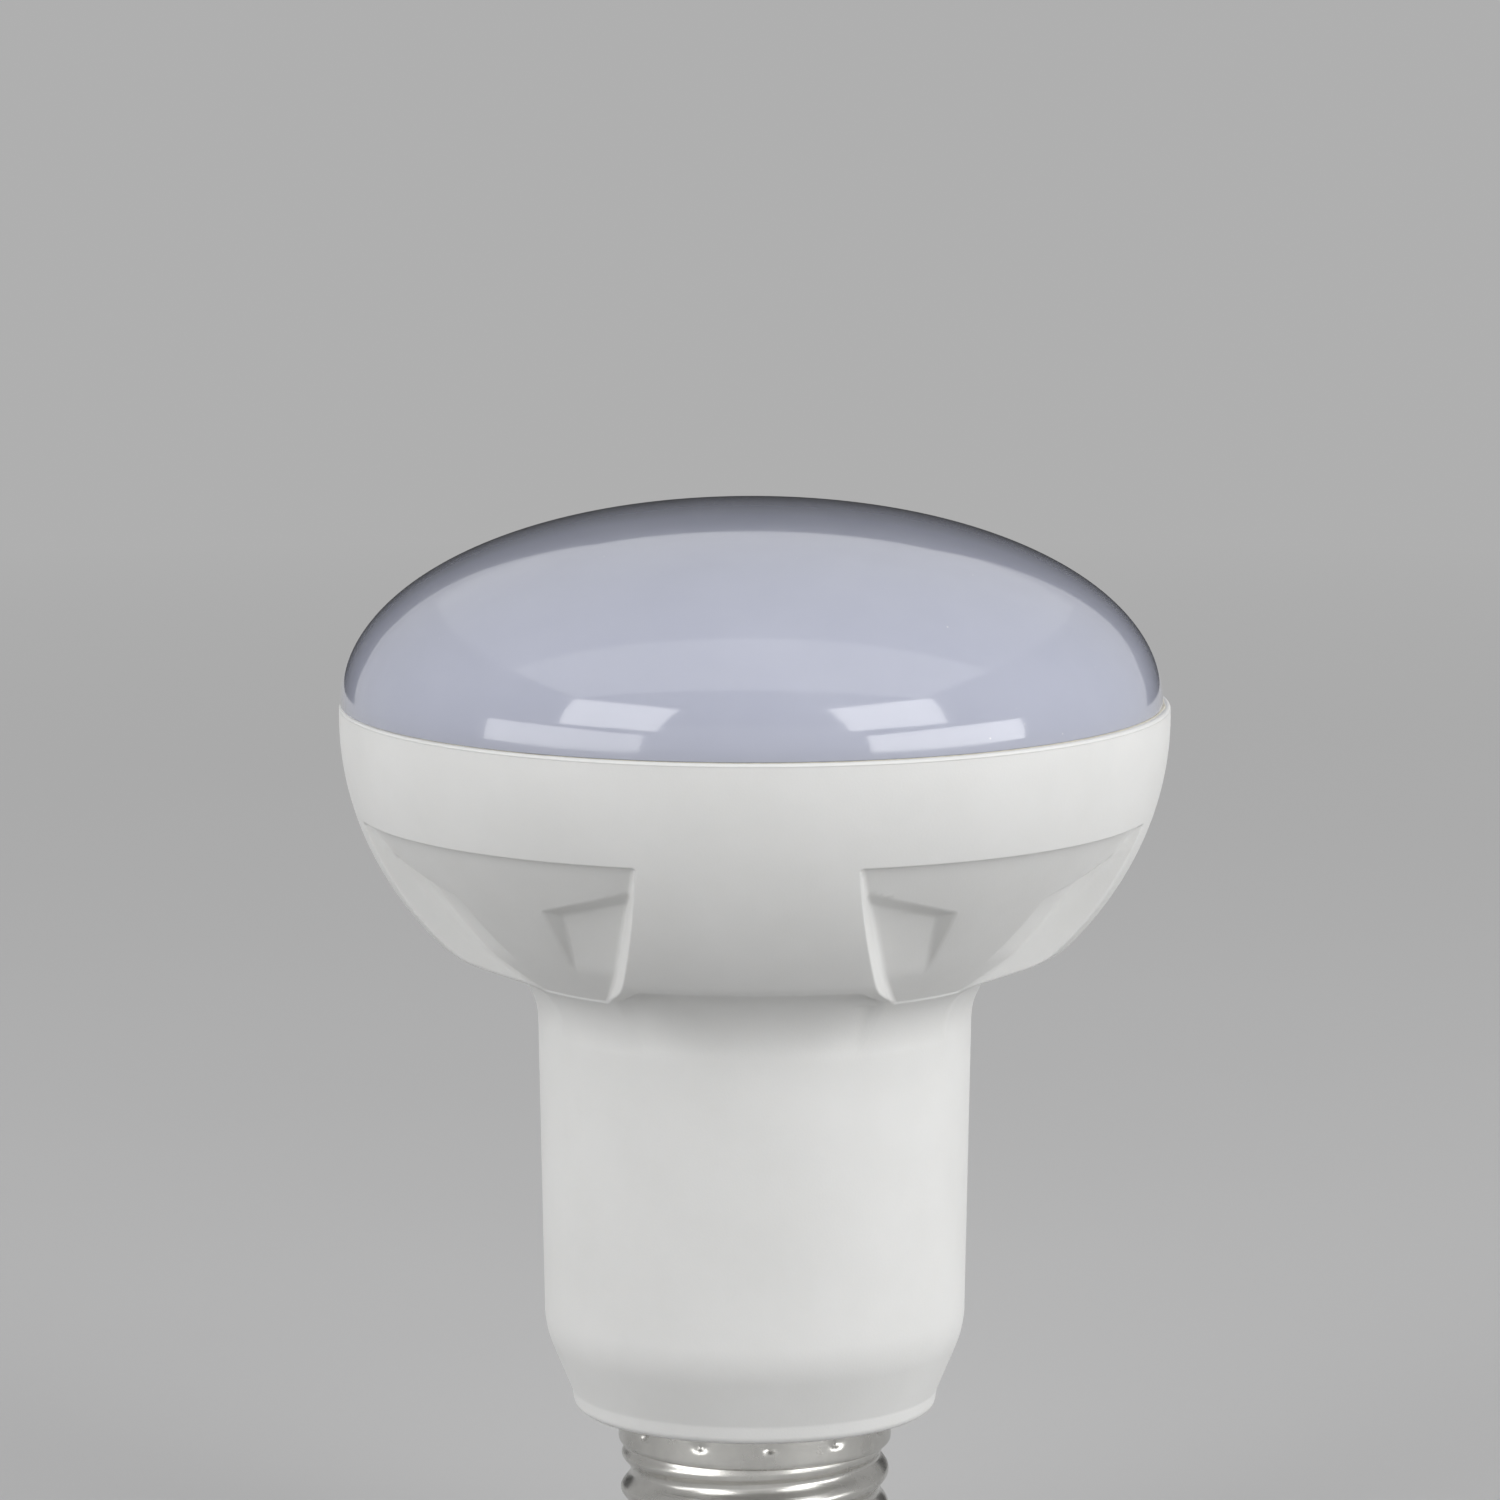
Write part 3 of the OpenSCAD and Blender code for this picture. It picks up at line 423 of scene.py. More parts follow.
def neck_distance(r, z):
    lean = (NECK_TOP_R - NECK_LOW_R) / (NECK_TOP_Z - NECK_LOW_Z)
    return r - NECK_TOP_R - (z - NECK_TOP_Z) * lean


def base_distance(r, z):
    """The bowl with its underside and neck, before anything is cut from it."""
    underside = (underside_z(r) - z) * math.cos(UNDERSIDE_SLOPE)
    inner = filleted(underside, neck_distance(r, z), NECK_FILLET, math.sin(UNDERSIDE_SLOPE))
    return shared(bowl_distance(r, z), inner, PAD_EDGE_ROUND)


def panel_distance(r, z):
    """To the panels' arc, which drops straight down past its foot."""
    arc = np.hypot(r - PANEL_MID[0], z - PANEL_MID[1]) - PANEL_ARC_R
    return np.where(z < PANEL_END[1], r - PANEL_END[0], arc)


def pad_distance(along, across):
    """To the side walls of the nearest pad."""
    half = PAD_W / 2 + (BAND_R - along) * math.tan(PAD_FLARE)
    return (across - half) * math.cos(PAD_FLARE)


LEG_HALF = PAD_W / 2 + (BAND_R - PAD_EDGE[0]) * math.tan(PAD_FLARE) - PAD_LEG_W


def leg_distance(along, across):
    """To the inner faces of that pad's legs, negative between them."""
    half = LEG_HALF + (PAD_EDGE[0] - along) * math.tan(RECESS_FLARE)
    return (across - half) * math.cos(RECESS_FLARE)


# The pockets' floors lie on one cone
POCKET_Z = -BAND_H - POCKET_DROP
CONE_TOP_Z = CONE_OVERRUN - BAND_H
CONE_LOW_Z = POCKET_Z - POCKET_H
CONE_TOP_R = float(panel_r(CONE_TOP_Z)) - POCKET_DEPTH
CONE_LOW_R = float(panel_r(CONE_LOW_Z))
CONE_LEAN = math.atan2(CONE_TOP_R - CONE_LOW_R, CONE_TOP_Z - CONE_LOW_Z)


def pocket_floor(r, z):
    return (r - CONE_LOW_R) * math.cos(CONE_LEAN) - (z - CONE_LOW_Z) * math.sin(CONE_LEAN)


def pocket_top_z(lateral):
    return POCKET_Z + (POCKET_OUT - lateral) * math.tan(POCKET_RISE)


def outside_pocket(r, z, azimuth):
    """To a pocket's walls, which close in with depth, negative outside the pocket."""
    depth = np.clip(-panel_distance(r, z), 0, POCKET_REACH)
    lateral = r * np.sin(azimuth - POCKET_TURN)
    side = (lateral - POCKET_OUT) * math.cos(POCKET_SIDE_DRAFT) + depth * math.sin(POCKET_SIDE_DRAFT)
    over_top = (z - pocket_top_z(lateral)) * math.cos(POCKET_RISE)
    over_top = over_top * math.cos(POCKET_TOP_DRAFT) + depth * math.sin(POCKET_TOP_DRAFT)
    return -shared(side, over_top, POCKET_ROUND)


def folded(azimuth):
    """The azimuth from the middle of the nearest pad, at most an eighth of a turn."""
    return np.abs((azimuth + math.pi / 4) % (math.pi / 2) - math.pi / 4)


def bowl_field(r, z, azimuth):
    """Distance to the finished bowl."""
    azimuth = folded(azimuth)
    along = r * np.cos(azimuth)
    across = r * np.sin(azimuth)
    pad = pad_distance(along, across)
    band = -BAND_H - z
    kept = joined(joined(panel_distance(r, z), band, BAND_FOOT_ROUND), pad, FOOT_ROUND)
    solid = shared(base_distance(r, z), kept, CREST_ROUND)
    pocket = joined(outside_pocket(r, z, azimuth), pocket_floor(r, z), POCKET_ROUND)
    pocket = np.minimum(pocket, band - POCKET_CLEAR)
    solid = shared(solid, joined(pocket, pad, FOOT_ROUND), POCKET_ROUND)
    # The recess between the legs: its rounds grow towards the neck, and vanish on it
    roof = (roof_z(r) - z) * math.cos(RECESS_SLOPE)
    left = filleted(roof, neck_distance(r, z), RECESS_ROUND, math.sin(RECESS_SLOPE))
    fade = np.clip((NECK_TOP_R + LEG_FADE_W - r) / LEG_FADE_W, 0, 1) * LEG_FADE_ROUND
    leg = joined(left, -leg_distance(along, across), LEG_ROUND + fade)
    return shared(solid, leg, np.clip(left, 0, LEG_EDGE_ROUND + fade))


# The bowl's mesh. Rays from a ring inside the bowl, each at an angle below the
# level, meet its points. The rows and columns of points are closer at the edges.
RAY_RING = (4.0, 4.0)
RAY_NEAR = 12.0
RAY_FAR = 60.0
HALVINGS = 44
SETTLINGS = 60


def slant(r, z):
    """The angle of the ray to a point."""
    return math.atan2(RAY_RING[1] - z, r - RAY_RING[0])


def on_ray(angle, length):
    return RAY_RING[0] + length * np.cos(angle), RAY_RING[1] - length * np.sin(angle)


def met(rays, distance):
    """Radii and levels at which rays leave a solid."""
    low, high = np.full(rays.shape, RAY_NEAR), np.full(rays.shape, RAY_FAR)
    for _ in range(HALVINGS):
        mid = (low + high) / 2
        inside = distance(*on_ray(rays, mid)) < 0
        low, high = np.where(inside, mid, low), np.where(inside, high, mid)
    return on_ray(rays, low)


def spaced(stops, counts):
    """Values between stops, each stretch with its own count of even steps."""
    values = []
    for a, b, count in zip(stops[:-1], stops[1:], counts):
        values.extend(a + (b - a) * (np.arange(count) / count))
    values.append(stops[-1])
    return np.array(values)


RAY_UNDER_BAND = slant(BAND_R - PANEL_STEP, -BAND_H) + 0.5 * DEG
RAY_POCKET_TOP = slant(float(panel_r(POCKET_Z)), POCKET_Z)
RAY_OVER_TOP = RAY_POCKET_TOP - 2.2 * DEG
RAY_UNDER_TOP = RAY_POCKET_TOP + 2.6 * DEG
RAY_OVER_EDGE = slant(*PAD_EDGE) - 1.3 * DEG
RAY_FOOT = slant(*PANEL_END)
RAY_LAST = slant(NECK_TOP_R, NECK_TOP_Z - 5.0)
RAY_STOPS = [slant(HEAD_R, -RIM_ROUND), slant(HEAD_R, -RIM_ROUND) + 2 * DEG,
             slant(BAND_R, -BAND_H) - 0.5 * DEG, RAY_UNDER_BAND, RAY_OVER_TOP, RAY_UNDER_TOP,
             RAY_OVER_EDGE, RAY_OVER_EDGE + 2.5 * DEG, RAY_FOOT + DEG, RAY_LAST]
ROW_COUNTS = [3, 8, 13, 7, 24, 12, 10, 22, 24]
COLUMN_COUNTS = [7, 4, 4, 5, 7, 16, 4, 4, 4, 9]
LEAST_STEP = 0.3 * DEG
# The columns follow the walls down to this radius
COLUMNS_R = 23.0


def wall_azimuth(half, at_r, flare, r):
    """Azimuth, at a radius r, of a flared wall that stands half off the pad's middle at the radius at_r."""
    reach = half * math.cos(flare) + at_r * math.sin(flare)
    return np.arcsin(reach / r) - flare


def eighth_columns(rays, r_panel, crest, leg, toe):
    """For each row, its columns from the middle of a pad to the middle of a panel."""
    z_panel = RAY_RING[1] - (r_panel - RAY_RING[0]) * np.tan(rays)
    floor_r = CONE_LOW_R + (z_panel - CONE_LOW_Z) * math.tan(CONE_LEAN)
    depth = np.clip(r_panel - floor_r, 0, POCKET_REACH)
    outer = POCKET_TURN + np.arcsin(POCKET_OUT / r_panel)
    inner = POCKET_TURN + np.arcsin((POCKET_OUT - depth * math.tan(POCKET_SIDE_DRAFT)) / r_panel)
    inner = np.minimum(inner, outer - 0.8 * DEG)
    even = np.linspace(0, math.pi / 4, sum(COLUMN_COUNTS) + 1)
    azimuths = []
    for i, ray in enumerate(rays):
        stops = np.array([0, leg[i] - 0.5 * DEG, leg[i] + 0.5 * DEG, crest[i] - 0.7 * DEG,
                          crest[i] + 0.3 * DEG, toe[i] + 0.8 * DEG, inner[i] - 0.5 * DEG,
                          inner[i] + 0.3 * DEG, outer[i] - 0.4 * DEG, outer[i] + 0.4 * DEG, math.pi / 4])
        for j in range(1, len(stops)):
            stops[j] = max(stops[j], stops[j - 1] + LEAST_STEP)
        stops[-1] = math.pi / 4
        for j in range(len(stops) - 2, 0, -1):
            stops[j] = min(stops[j], stops[j + 1] - LEAST_STEP)
        # Down the neck the columns become even
        share = min(max((ray - RAY_FOOT - 0.5 * DEG) / (RAY_LAST - RAY_FOOT - 1.5 * DEG), 0), 1)
        azimuths.append(spaced(stops, COLUMN_COUNTS) * (1 - share) + even * share)
    return np.array(azimuths)


def bowl_normals(r, z, azimuth, h=0.03):
    """The field's slope, from its values a distance h away on either side."""
    out = bowl_field(r + h, z, azimuth) - bowl_field(r - h, z, azimuth)
    up = bowl_field(r, z + h, azimuth) - bowl_field(r, z - h, azimuth)
    about = bowl_field(r, z, azimuth + h / r) - bowl_field(r, z, azimuth - h / r)
    cos, sin = np.cos(azimuth), np.sin(azimuth)
    normal = np.stack([out * cos - about * sin, out * sin + about * cos, up], axis=2)
    return normal / np.maximum(np.linalg.norm(normal, axis=2), TINY)[:, :, None]


def bowl_rows():
    """Points, normals and azimuths of the bowl's outside, in rows from the neck up to the rim."""
    rays = spaced(RAY_STOPS, ROW_COUNTS)
    met_base = met(rays, base_distance)[0]
    met_panel = np.minimum(met(rays, panel_distance)[0], met_base)
    r_base, r_panel = (np.clip(r, COLUMNS_R, HEAD_R) for r in (met_base, met_panel))
    crest = wall_azimuth(PAD_W / 2, BAND_R, PAD_FLARE, r_base)
    toe = np.maximum(wall_azimuth(PAD_W / 2, BAND_R, PAD_FLARE, r_panel), crest + 0.6 * DEG)
    leg = wall_azimuth(LEG_HALF, PAD_EDGE[0], RECESS_FLARE, np.clip(r_base, NECK_TOP_R, PAD_EDGE[0]))
    leg = np.minimum(leg, crest - 2.2 * DEG)
    eighth = eighth_columns(rays, r_panel, crest, leg, toe)
    columns = []
    for quarter in range(4):
        turn = quarter * math.pi / 2
        columns.append(turn + eighth[:, :-1])
        columns.append(turn + math.pi / 2 - eighth[:, :0:-1])
    azimuth = np.concatenate(columns, axis=1)

    # Near the pockets' upper edge the rows follow its slope
    across = folded(azimuth)
    lateral = np.minimum(r_panel[:, None] * np.sin(across - POCKET_TURN), POCKET_OUT)
    top_z = pocket_top_z(lateral)
    top = np.arctan2(RAY_RING[1] - top_z, panel_r(top_z) - RAY_RING[0])
    past_crest = np.clip((across - crest[:, None]) / (8 * DEG), 0, 1)
    weight = np.interp(rays, [RAY_UNDER_BAND, RAY_OVER_TOP, RAY_UNDER_TOP, RAY_OVER_EDGE], [0, 1, 1, 0])
    ray = rays[:, None] + (top - RAY_POCKET_TOP) * past_crest * weight[:, None]

    r, z = met(ray, lambda at_r, at_z: bowl_field(at_r, at_z, azimuth))
    points = np.stack([r * np.cos(azimuth), r * np.sin(azimuth), z + RIM_Z], axis=2)
    return points[::-1], bowl_normals(r, z, azimuth)[::-1], azimuth[::-1]


def neck_profile(end):
    """Half section from the collar out over the tail and up the taper and neck, as far as end."""
    collar, tail_foot, tail_top = (COLLAR_R, CAP_H), (TAIL_R, CAP_H), (TAIL_TOP_R, CAP_H + TAIL_H)
    taper_top, neck_top = (NECK_LOW_R, CAP_H + TAPER_H), (NECK_TOP_R, NECK_TOP_Z + RIM_Z)
    profile = [collar]
    profile += round_corner(collar, tail_foot, tail_top, EDGE_ROUND, 6)
    profile += round_corner(tail_foot, tail_top, taper_top, TAIL_CREASE, 5)
    profile += round_corner(tail_top, taper_top, neck_top, CORNER_ROUND, 9)
    return profile + between(profile[-1], end, 6)


def socket_profile():
    """Half section from the rim down the socket and the inside of the bowl's wall."""
    ledge_z = RIM_Z - LEDGE_DEPTH
    profile = round_corner((HEAD_R, 0), (HEAD_R, RIM_Z), (0, RIM_Z), RIM_ROUND, 5)[1:]
    profile += [(SOCKET_R + SEAL_W, RIM_Z), (SOCKET_R, RIM_Z - SEAL_W), (SOCKET_R, ledge_z),
                (SOCKET_R - LEDGE_W, ledge_z)]
    # The level where the wall behind the panels meets the one over the recesses
    shelf_r = NECK_TOP_R
    for _ in range(SETTLINGS):
        shelf_z = roof_z(shelf_r) + WALL / math.cos(RECESS_SLOPE)
        shelf_r = float(panel_r(shelf_z, WALL))
    return profile + [(float(panel_r(z, WALL)), z + RIM_Z) for z in np.linspace(-BAND_H, shelf_z, 9)]


def bore_profile():
    """Half section down the neck's inside, and round the spigot to the collar."""
    top_r = NECK_TOP_R - WALL
    low_r = SPIGOT_R - SPIGOT_WALL
    return [(top_r, roof_z(top_r) + WALL / math.cos(RECESS_SLOPE) + RIM_Z),
            (NECK_LOW_R - WALL, CAP_H + TAPER_H), (TAIL_TOP_R - WALL, FLOOR_Z), (low_r, FLOOR_Z),
            (low_r, SPIGOT_Z), (SPIGOT_R, SPIGOT_Z), (SPIGOT_R, COLLAR_Z), (COLLAR_R, COLLAR_Z)]


def guides(first):
    """The four guides of the driver board, let into the neck's wall. Their points are numbered from first."""
    sides = (((0, 2, 3, 1), (0, 0, -1)), ((4, 5, 7, 6), (0, 0, 1)), ((0, 1, 5, 4), (0, -1, 0)),
             ((2, 6, 7, 3), (0, 1, 0)), ((0, 4, 6, 2), (-1, 0, 0)), ((1, 3, 7, 5), (1, 0, 0)))
    inner = DRIVER_HALF_W - GUIDE_GRIP
    outer = math.sqrt((TAIL_TOP_R - WALL / 2) ** 2 - (GUIDE_Y + GUIDE_W) ** 2)
    points, faces, normals = [], [], []
    for sx in (-1, 1):
        for sy in (-1, 1):
            xs = sorted((sx * inner, sx * outer))
            ys = sorted((sy * GUIDE_Y, sy * (GUIDE_Y + GUIDE_W)))
            corner = first + len(points)
            points += [(x, y, z) for z in (FLOOR_Z - FLOOR_T / 2, FLOOR_Z + GUIDE_H) for y in ys for x in xs]
            for side, normal in sides:
                faces.append(tuple(corner + i for i in side))
                normals += [normal] * len(side)
    return points, faces, normals


def make_housing():
    """The one-piece moulding, with its bowl, neck, spigot and socket."""
    bowl_points, bowl_slopes, bowl_azimuth = bowl_rows()
    end = (float(np.hypot(*bowl_points[0, 0, :2])), float(bowl_points[0, 0, 2]))
    neck, socket, bore = neck_profile(end), socket_profile(), bore_profile()
    start, finish = profile_normals(neck + [end] + socket + bore, True)
    bowl_from, bowl_to = len(neck), len(neck) + len(bowl_points)
    rows, columns = bowl_to + len(socket) + len(bore), bowl_azimuth.shape[1]
    points, low, high = np.zeros((3, rows, columns, 3))

    # Low and high are the normals at the two ends of the step from a row to the next
    points[bowl_from:bowl_to] = bowl_points
    low[bowl_from:bowl_to] = bowl_slopes
    for row, q in [*enumerate(neck), *enumerate(socket + bore, bowl_to)]:
        azimuth = bowl_azimuth[-1 if bowl_to <= row < rows - len(bore) else 0]
        step = row if row < bowl_from else row - len(bowl_points) + 1
        points[row] = circled(*q, azimuth)
        low[row] = circled(*start[step], azimuth)
        high[row] = circled(*finish[step], azimuth)
    high[bowl_from - 1:bowl_to - 1] = bowl_slopes
    high[bowl_to - 1] = circled(*finish[bowl_from], bowl_azimuth[-1])

    # The notch in the spigot's lower edge
    x, y, z = points[..., 0], points[..., 1], points[..., 2]
    z[(np.abs(z - SPIGOT_Z) < TINY) & (x > 0) & (np.abs(y) < NOTCH_W / 2)] += NOTCH_H
    guide_points, guide_faces, guide_normals = guides(rows * columns)
    vertices = list(map(tuple, points.reshape(-1, 3))) + guide_points
    faces = ring_faces(rows, columns) + guide_faces
    normals = list(map(tuple, ring_normals(low, high))) + guide_normals
    return make_piece("housing_moulding", vertices, faces, normals, "housing")


def make_diffuser():
    """The milky dome, with the skirt that goes down into the socket."""
    def dome(radius, height, angles):
        power = 2 / DOME_FULLNESS
        return [(radius * max(math.cos(a), 0) ** power, RIM_Z + height * math.sin(a) ** power)
                for a in angles]

    inner_r, inner_h = LENS_R - LENS_WALL, DOME_H - LENS_WALL
    skirt_inner_r = LENS_SKIRT_R - LENS_SKIRT_T
    foot = math.acos((skirt_inner_r / inner_r) ** (DOME_FULLNESS / 2))
    outer = dome(LENS_R, DOME_H, np.linspace(0, math.pi / 2, 72))
    outer[-1] = (0.0, RIM_Z + DOME_H)
    inner = dome(inner_r, inner_h, np.linspace(foot, math.pi / 2, 40))
    inner[-1] = (0.0, RIM_Z + inner_h)
    skirt = [(skirt_inner_r, LENS_SKIRT_Z)]
    skirt += round_corner(skirt[0], (LENS_SKIRT_R, LENS_SKIRT_Z), (LENS_SKIRT_R, RIM_Z), LENS_SKIRT_ROUND, 3)
    land = [(LENS_SKIRT_R, RIM_Z + LENS_SEAT_GAP), (LENS_R - LENS_LAND_W, RIM_Z + LENS_SEAT_GAP),
            (LENS_R - LENS_SEAT_GAP, RIM_Z + LENS_LAND_H)]
    points, faces, normals = turned(inner[::-1] + skirt + land + outer[2:], columns=240)
    points[:, 0] += LENS_X
    return make_piece("diffuser_dome", points, faces, normals, "diffuser")


def make_sealant():
    """The bead in the groove, squeezed out unevenly where the gap round the dome is widest."""
    turn = whole_turn(columns=480)
    rng = np.random.default_rng(7)
    wobble = 0 * turn
    for k in range(5, 60, 3):
        wobble += rng.normal() / (k ** 0.5) * np.cos(k * turn + rng.uniform(0, 2 * math.pi))
    wobble = wobble / np.abs(wobble).max()
    lens_r = LENS_R + LENS_X * np.cos(turn)
    wide = np.clip((HEAD_R - RIM_ROUND - lens_r) / SPILL_GAP, 0, 1)
    spill = SEAL_GAP + SPILL_W * (1 + wobble) * (SPILL_SHARE + wide)
    reach = np.clip(lens_r + spill, lens_r - SEAL_LAP, HEAD_R - SEAL_EDGE_W)
    height = SEAL_H + SPILL_H * wide * (0.6 + 0.4 * wobble)
    low, middle, top = (RIM_Z + share * height for share in SEAL_RISE_SHARES)
    # From the groove's foot up, out over the rim, and back over the dome's edge
    rings = [
        (SOCKET_R + SEAL_GAP, RIM_Z - SEAL_DEPTH),
        (SOCKET_R + SEAL_W - 0.08, RIM_Z - 0.02),
        (reach, RIM_Z + 0.005),
        (reach + 0.02, low),
        (reach - 0.05, middle),
        (lens_r - 0.12, top),
        (lens_r - 0.35, RIM_Z + 0.01),
        (SOCKET_R + SEAL_GAP, RIM_Z - 0.01),
    ]
    return tube_piece("sealant_squeezed", rings, turn, "sealant_bead")


def make_cap_shell():
    """The rolled screw shell, in one sheet from its foot to the skirt."""
    turn = whole_turn(columns=192)
    skirt_inner_r = SKIRT_R - SHEET_T
    period = 2 * math.pi / PUNCHES

    def ease(x):
        s = np.clip(x, 0, 1)
        return s * s * (3 - 2 * s)

    def shell_r(z):
        mean_r = THREAD_R - THREAD_DEPTH / 2
        foot = np.clip((z - SHELL_FOOT_Z) / FOOT_H, 0, 1)
        rise = ease((z - SHELL_FOOT_Z - FOOT_H / 2) / FADE_H)
        fall = ease((SKIRT_Z - z) / FADE_H)
        wave = np.sin(2 * math.pi * z / THREAD_PITCH - turn)
        return (SHELL_FOOT_R + (mean_r - SHELL_FOOT_R) * np.sin(math.pi / 2 * foot)
                + THREAD_DEPTH / 2 * wave * rise * fall)

    def skirt_r(z):
        """The skirt with the punched dimples that lock it on the housing's collar."""
        angle = (turn + period / 4) % period - period / 2
        away = np.hypot(angle * SKIRT_R, z - PUNCH_Z)
        return SKIRT_R - PUNCH_DEPTH * np.clip(1 - (away / PUNCH_R) ** 2, 0, 1) ** 2

    levels = np.linspace(SHELL_FOOT_Z, SKIRT_Z - SHOULDER_STEP, 132)
    rings = [(shell_r(z), z) for z in levels]
    rings += [(SKIRT_R - SHOULDER_W, SKIRT_Z)]
    rings += round_corner((float(rings[-2][0][0]), SKIRT_Z), (SKIRT_R, SKIRT_Z), (SKIRT_R, CAP_H),
                          SHOULDER_ROUND, 5)
    rings += [(skirt_r(z), z) for z in np.linspace(SKIRT_Z + 0.7, CAP_H - 0.35, 17)]
    rings += [(SKIRT_R, CAP_H - LIP_ROUND), (SKIRT_R - LIP_ROUND / 2, CAP_H - LIP_ROUND / 6),
              (SKIRT_R - SHEET_T / 2, CAP_H), (skirt_inner_r + LIP_ROUND / 2, CAP_H - LIP_ROUND / 6),
              (skirt_inner_r, CAP_H - LIP_ROUND)]
    rings += [(skirt_inner_r, SKIRT_Z + SHEET_T + 0.2), (skirt_inner_r - 0.25, SKIRT_Z + SHEET_T)]
    rings += [(shell_r(z) - SHEET_T, z) for z in levels[::-1]]
    return tube_piece("cap_thread", rings, turn, "cap_shell")


def make_insulator():
    """Black vitrified insulator in the foot of the shell."""
    hole_r = STEM_R + STEM_GAP
    boss_r = hole_r + GLASS_BOSS_W
    low_edge, top_edge = (GLASS_EDGE_R, GLASS_EDGE_LOW_Z), (GLASS_EDGE_R, GLASS_EDGE_TOP_Z)
    profile = [(hole_r, CONTACT_H)]
    profile += round_corner((hole_r, CONTACT_H), (GLASS_FACE_R, CONTACT_H), low_edge, GLASS_FACE_ROUND, 4)
    profile += GLASS_GROOVE
    profile += round_corner(GLASS_GROOVE[1], low_edge, top_edge, GLASS_EDGE_ROUND, 3)
    profile += [top_edge, (GLASS_R, GLASS_LOW_Z), (GLASS_R, GLASS_TOP_Z - CHAMFER),
                (GLASS_R - CHAMFER, GLASS_TOP_Z), (GLASS_INNER_R, GLASS_TOP_Z)]
    profile += round_corner((GLASS_INNER_R, GLASS_TOP_Z), (GLASS_FACE_R, GLASS_WEB_Z), (boss_r, GLASS_WEB_Z),
                            GLASS_WEB_ROUND, 4)
    profile += [(boss_r, GLASS_WEB_Z), (boss_r, GLASS_BOSS_Z), (hole_r, GLASS_BOSS_Z)]
    points, faces, normals = turned(profile, columns=120, ring=True)
    return make_piece("cap_glass_disc", points, faces, normals, "cap_insulator")


def make_contact():
    """Pressed centre contact with its hollow stem and a dimple."""
    low_edge, top_edge = (CONTACT_R, 0.0), (CONTACT_R, CONTACT_H)
    profile = [*CONTACT_DIMPLE, (CONTACT_FLAT_R, 0.0)]
    profile += round_corner((CONTACT_FLAT_R, 0.0), low_edge, top_edge, CONTACT_ROUND, 5)
    profile += round_corner(low_edge, top_edge, (STEM_R, CONTACT_H), CONTACT_EDGE_ROUND, 3)
    profile += [(STEM_R, CONTACT_H), (STEM_R, STEM_TOP_Z - CHAMFER), (STEM_R - CHAMFER, STEM_TOP_Z),
                (STEM_BORE_R + CHAMFER, STEM_TOP_Z), (STEM_BORE_R, STEM_TOP_Z - CHAMFER),
                (STEM_BORE_R, STEM_FLOOR_Z), (0.0, STEM_FLOOR_Z)]
    points, faces, normals = turned(profile, columns=96)
    return make_piece("contact_rivet", points, faces, normals, "centre_contact")


# Materials

class Graph:
    """The nodes of a material or of the world. A value is a number, a colour or a node's output."""

    def __init__(self, owner):
        owner.use_nodes = True
        self.nodes, self.links = owner.node_tree.nodes, owner.node_tree.links

    def put(self, value, socket):
        """Sets a socket to a value, or links it to an output."""
        if isinstance(value, (int, float)):
            socket.default_value = value
        elif isinstance(value, tuple):
            socket.default_value = (*value, 1)
        else:
            self.links.new(value, socket)

    def number(self, operation, a, b):
        """A number worked out from two others."""
        made = self.nodes.new("ShaderNodeMath")
        made.operation = operation
        self.put(a, made.inputs[0])
        self.put(b, made.inputs[1])
        return made.outputs[0]

    def mixed(self, share, a, b):
        """Colour a, or b where the share is one."""
        made = self.nodes.new("ShaderNodeMix")
        made.data_type = "RGBA"
        for value, i in ((share, 0), (a, 6), (b, 7)):
            self.put(value, made.inputs[i])
        return made.outputs[2]

    def blended(self, share, a, b):
        """Shader a, or b where the share is one."""
        made = self.nodes.new("ShaderNodeMixShader")
        for i, value in enumerate((share, a, b)):
            self.put(value, made.inputs[i])
        return made.outputs[0]

    def seen_rays(self):
        """One for the rays by which the eye, and what is polished or clear, see the room."""
        path = self.nodes.new("ShaderNodeLightPath")
        seen = self.number("MAXIMUM", path.outputs["Is Camera Ray"], path.outputs["Is Glossy Ray"])
        return self.number("MAXIMUM", seen, path.outputs["Is Transmission Ray"])


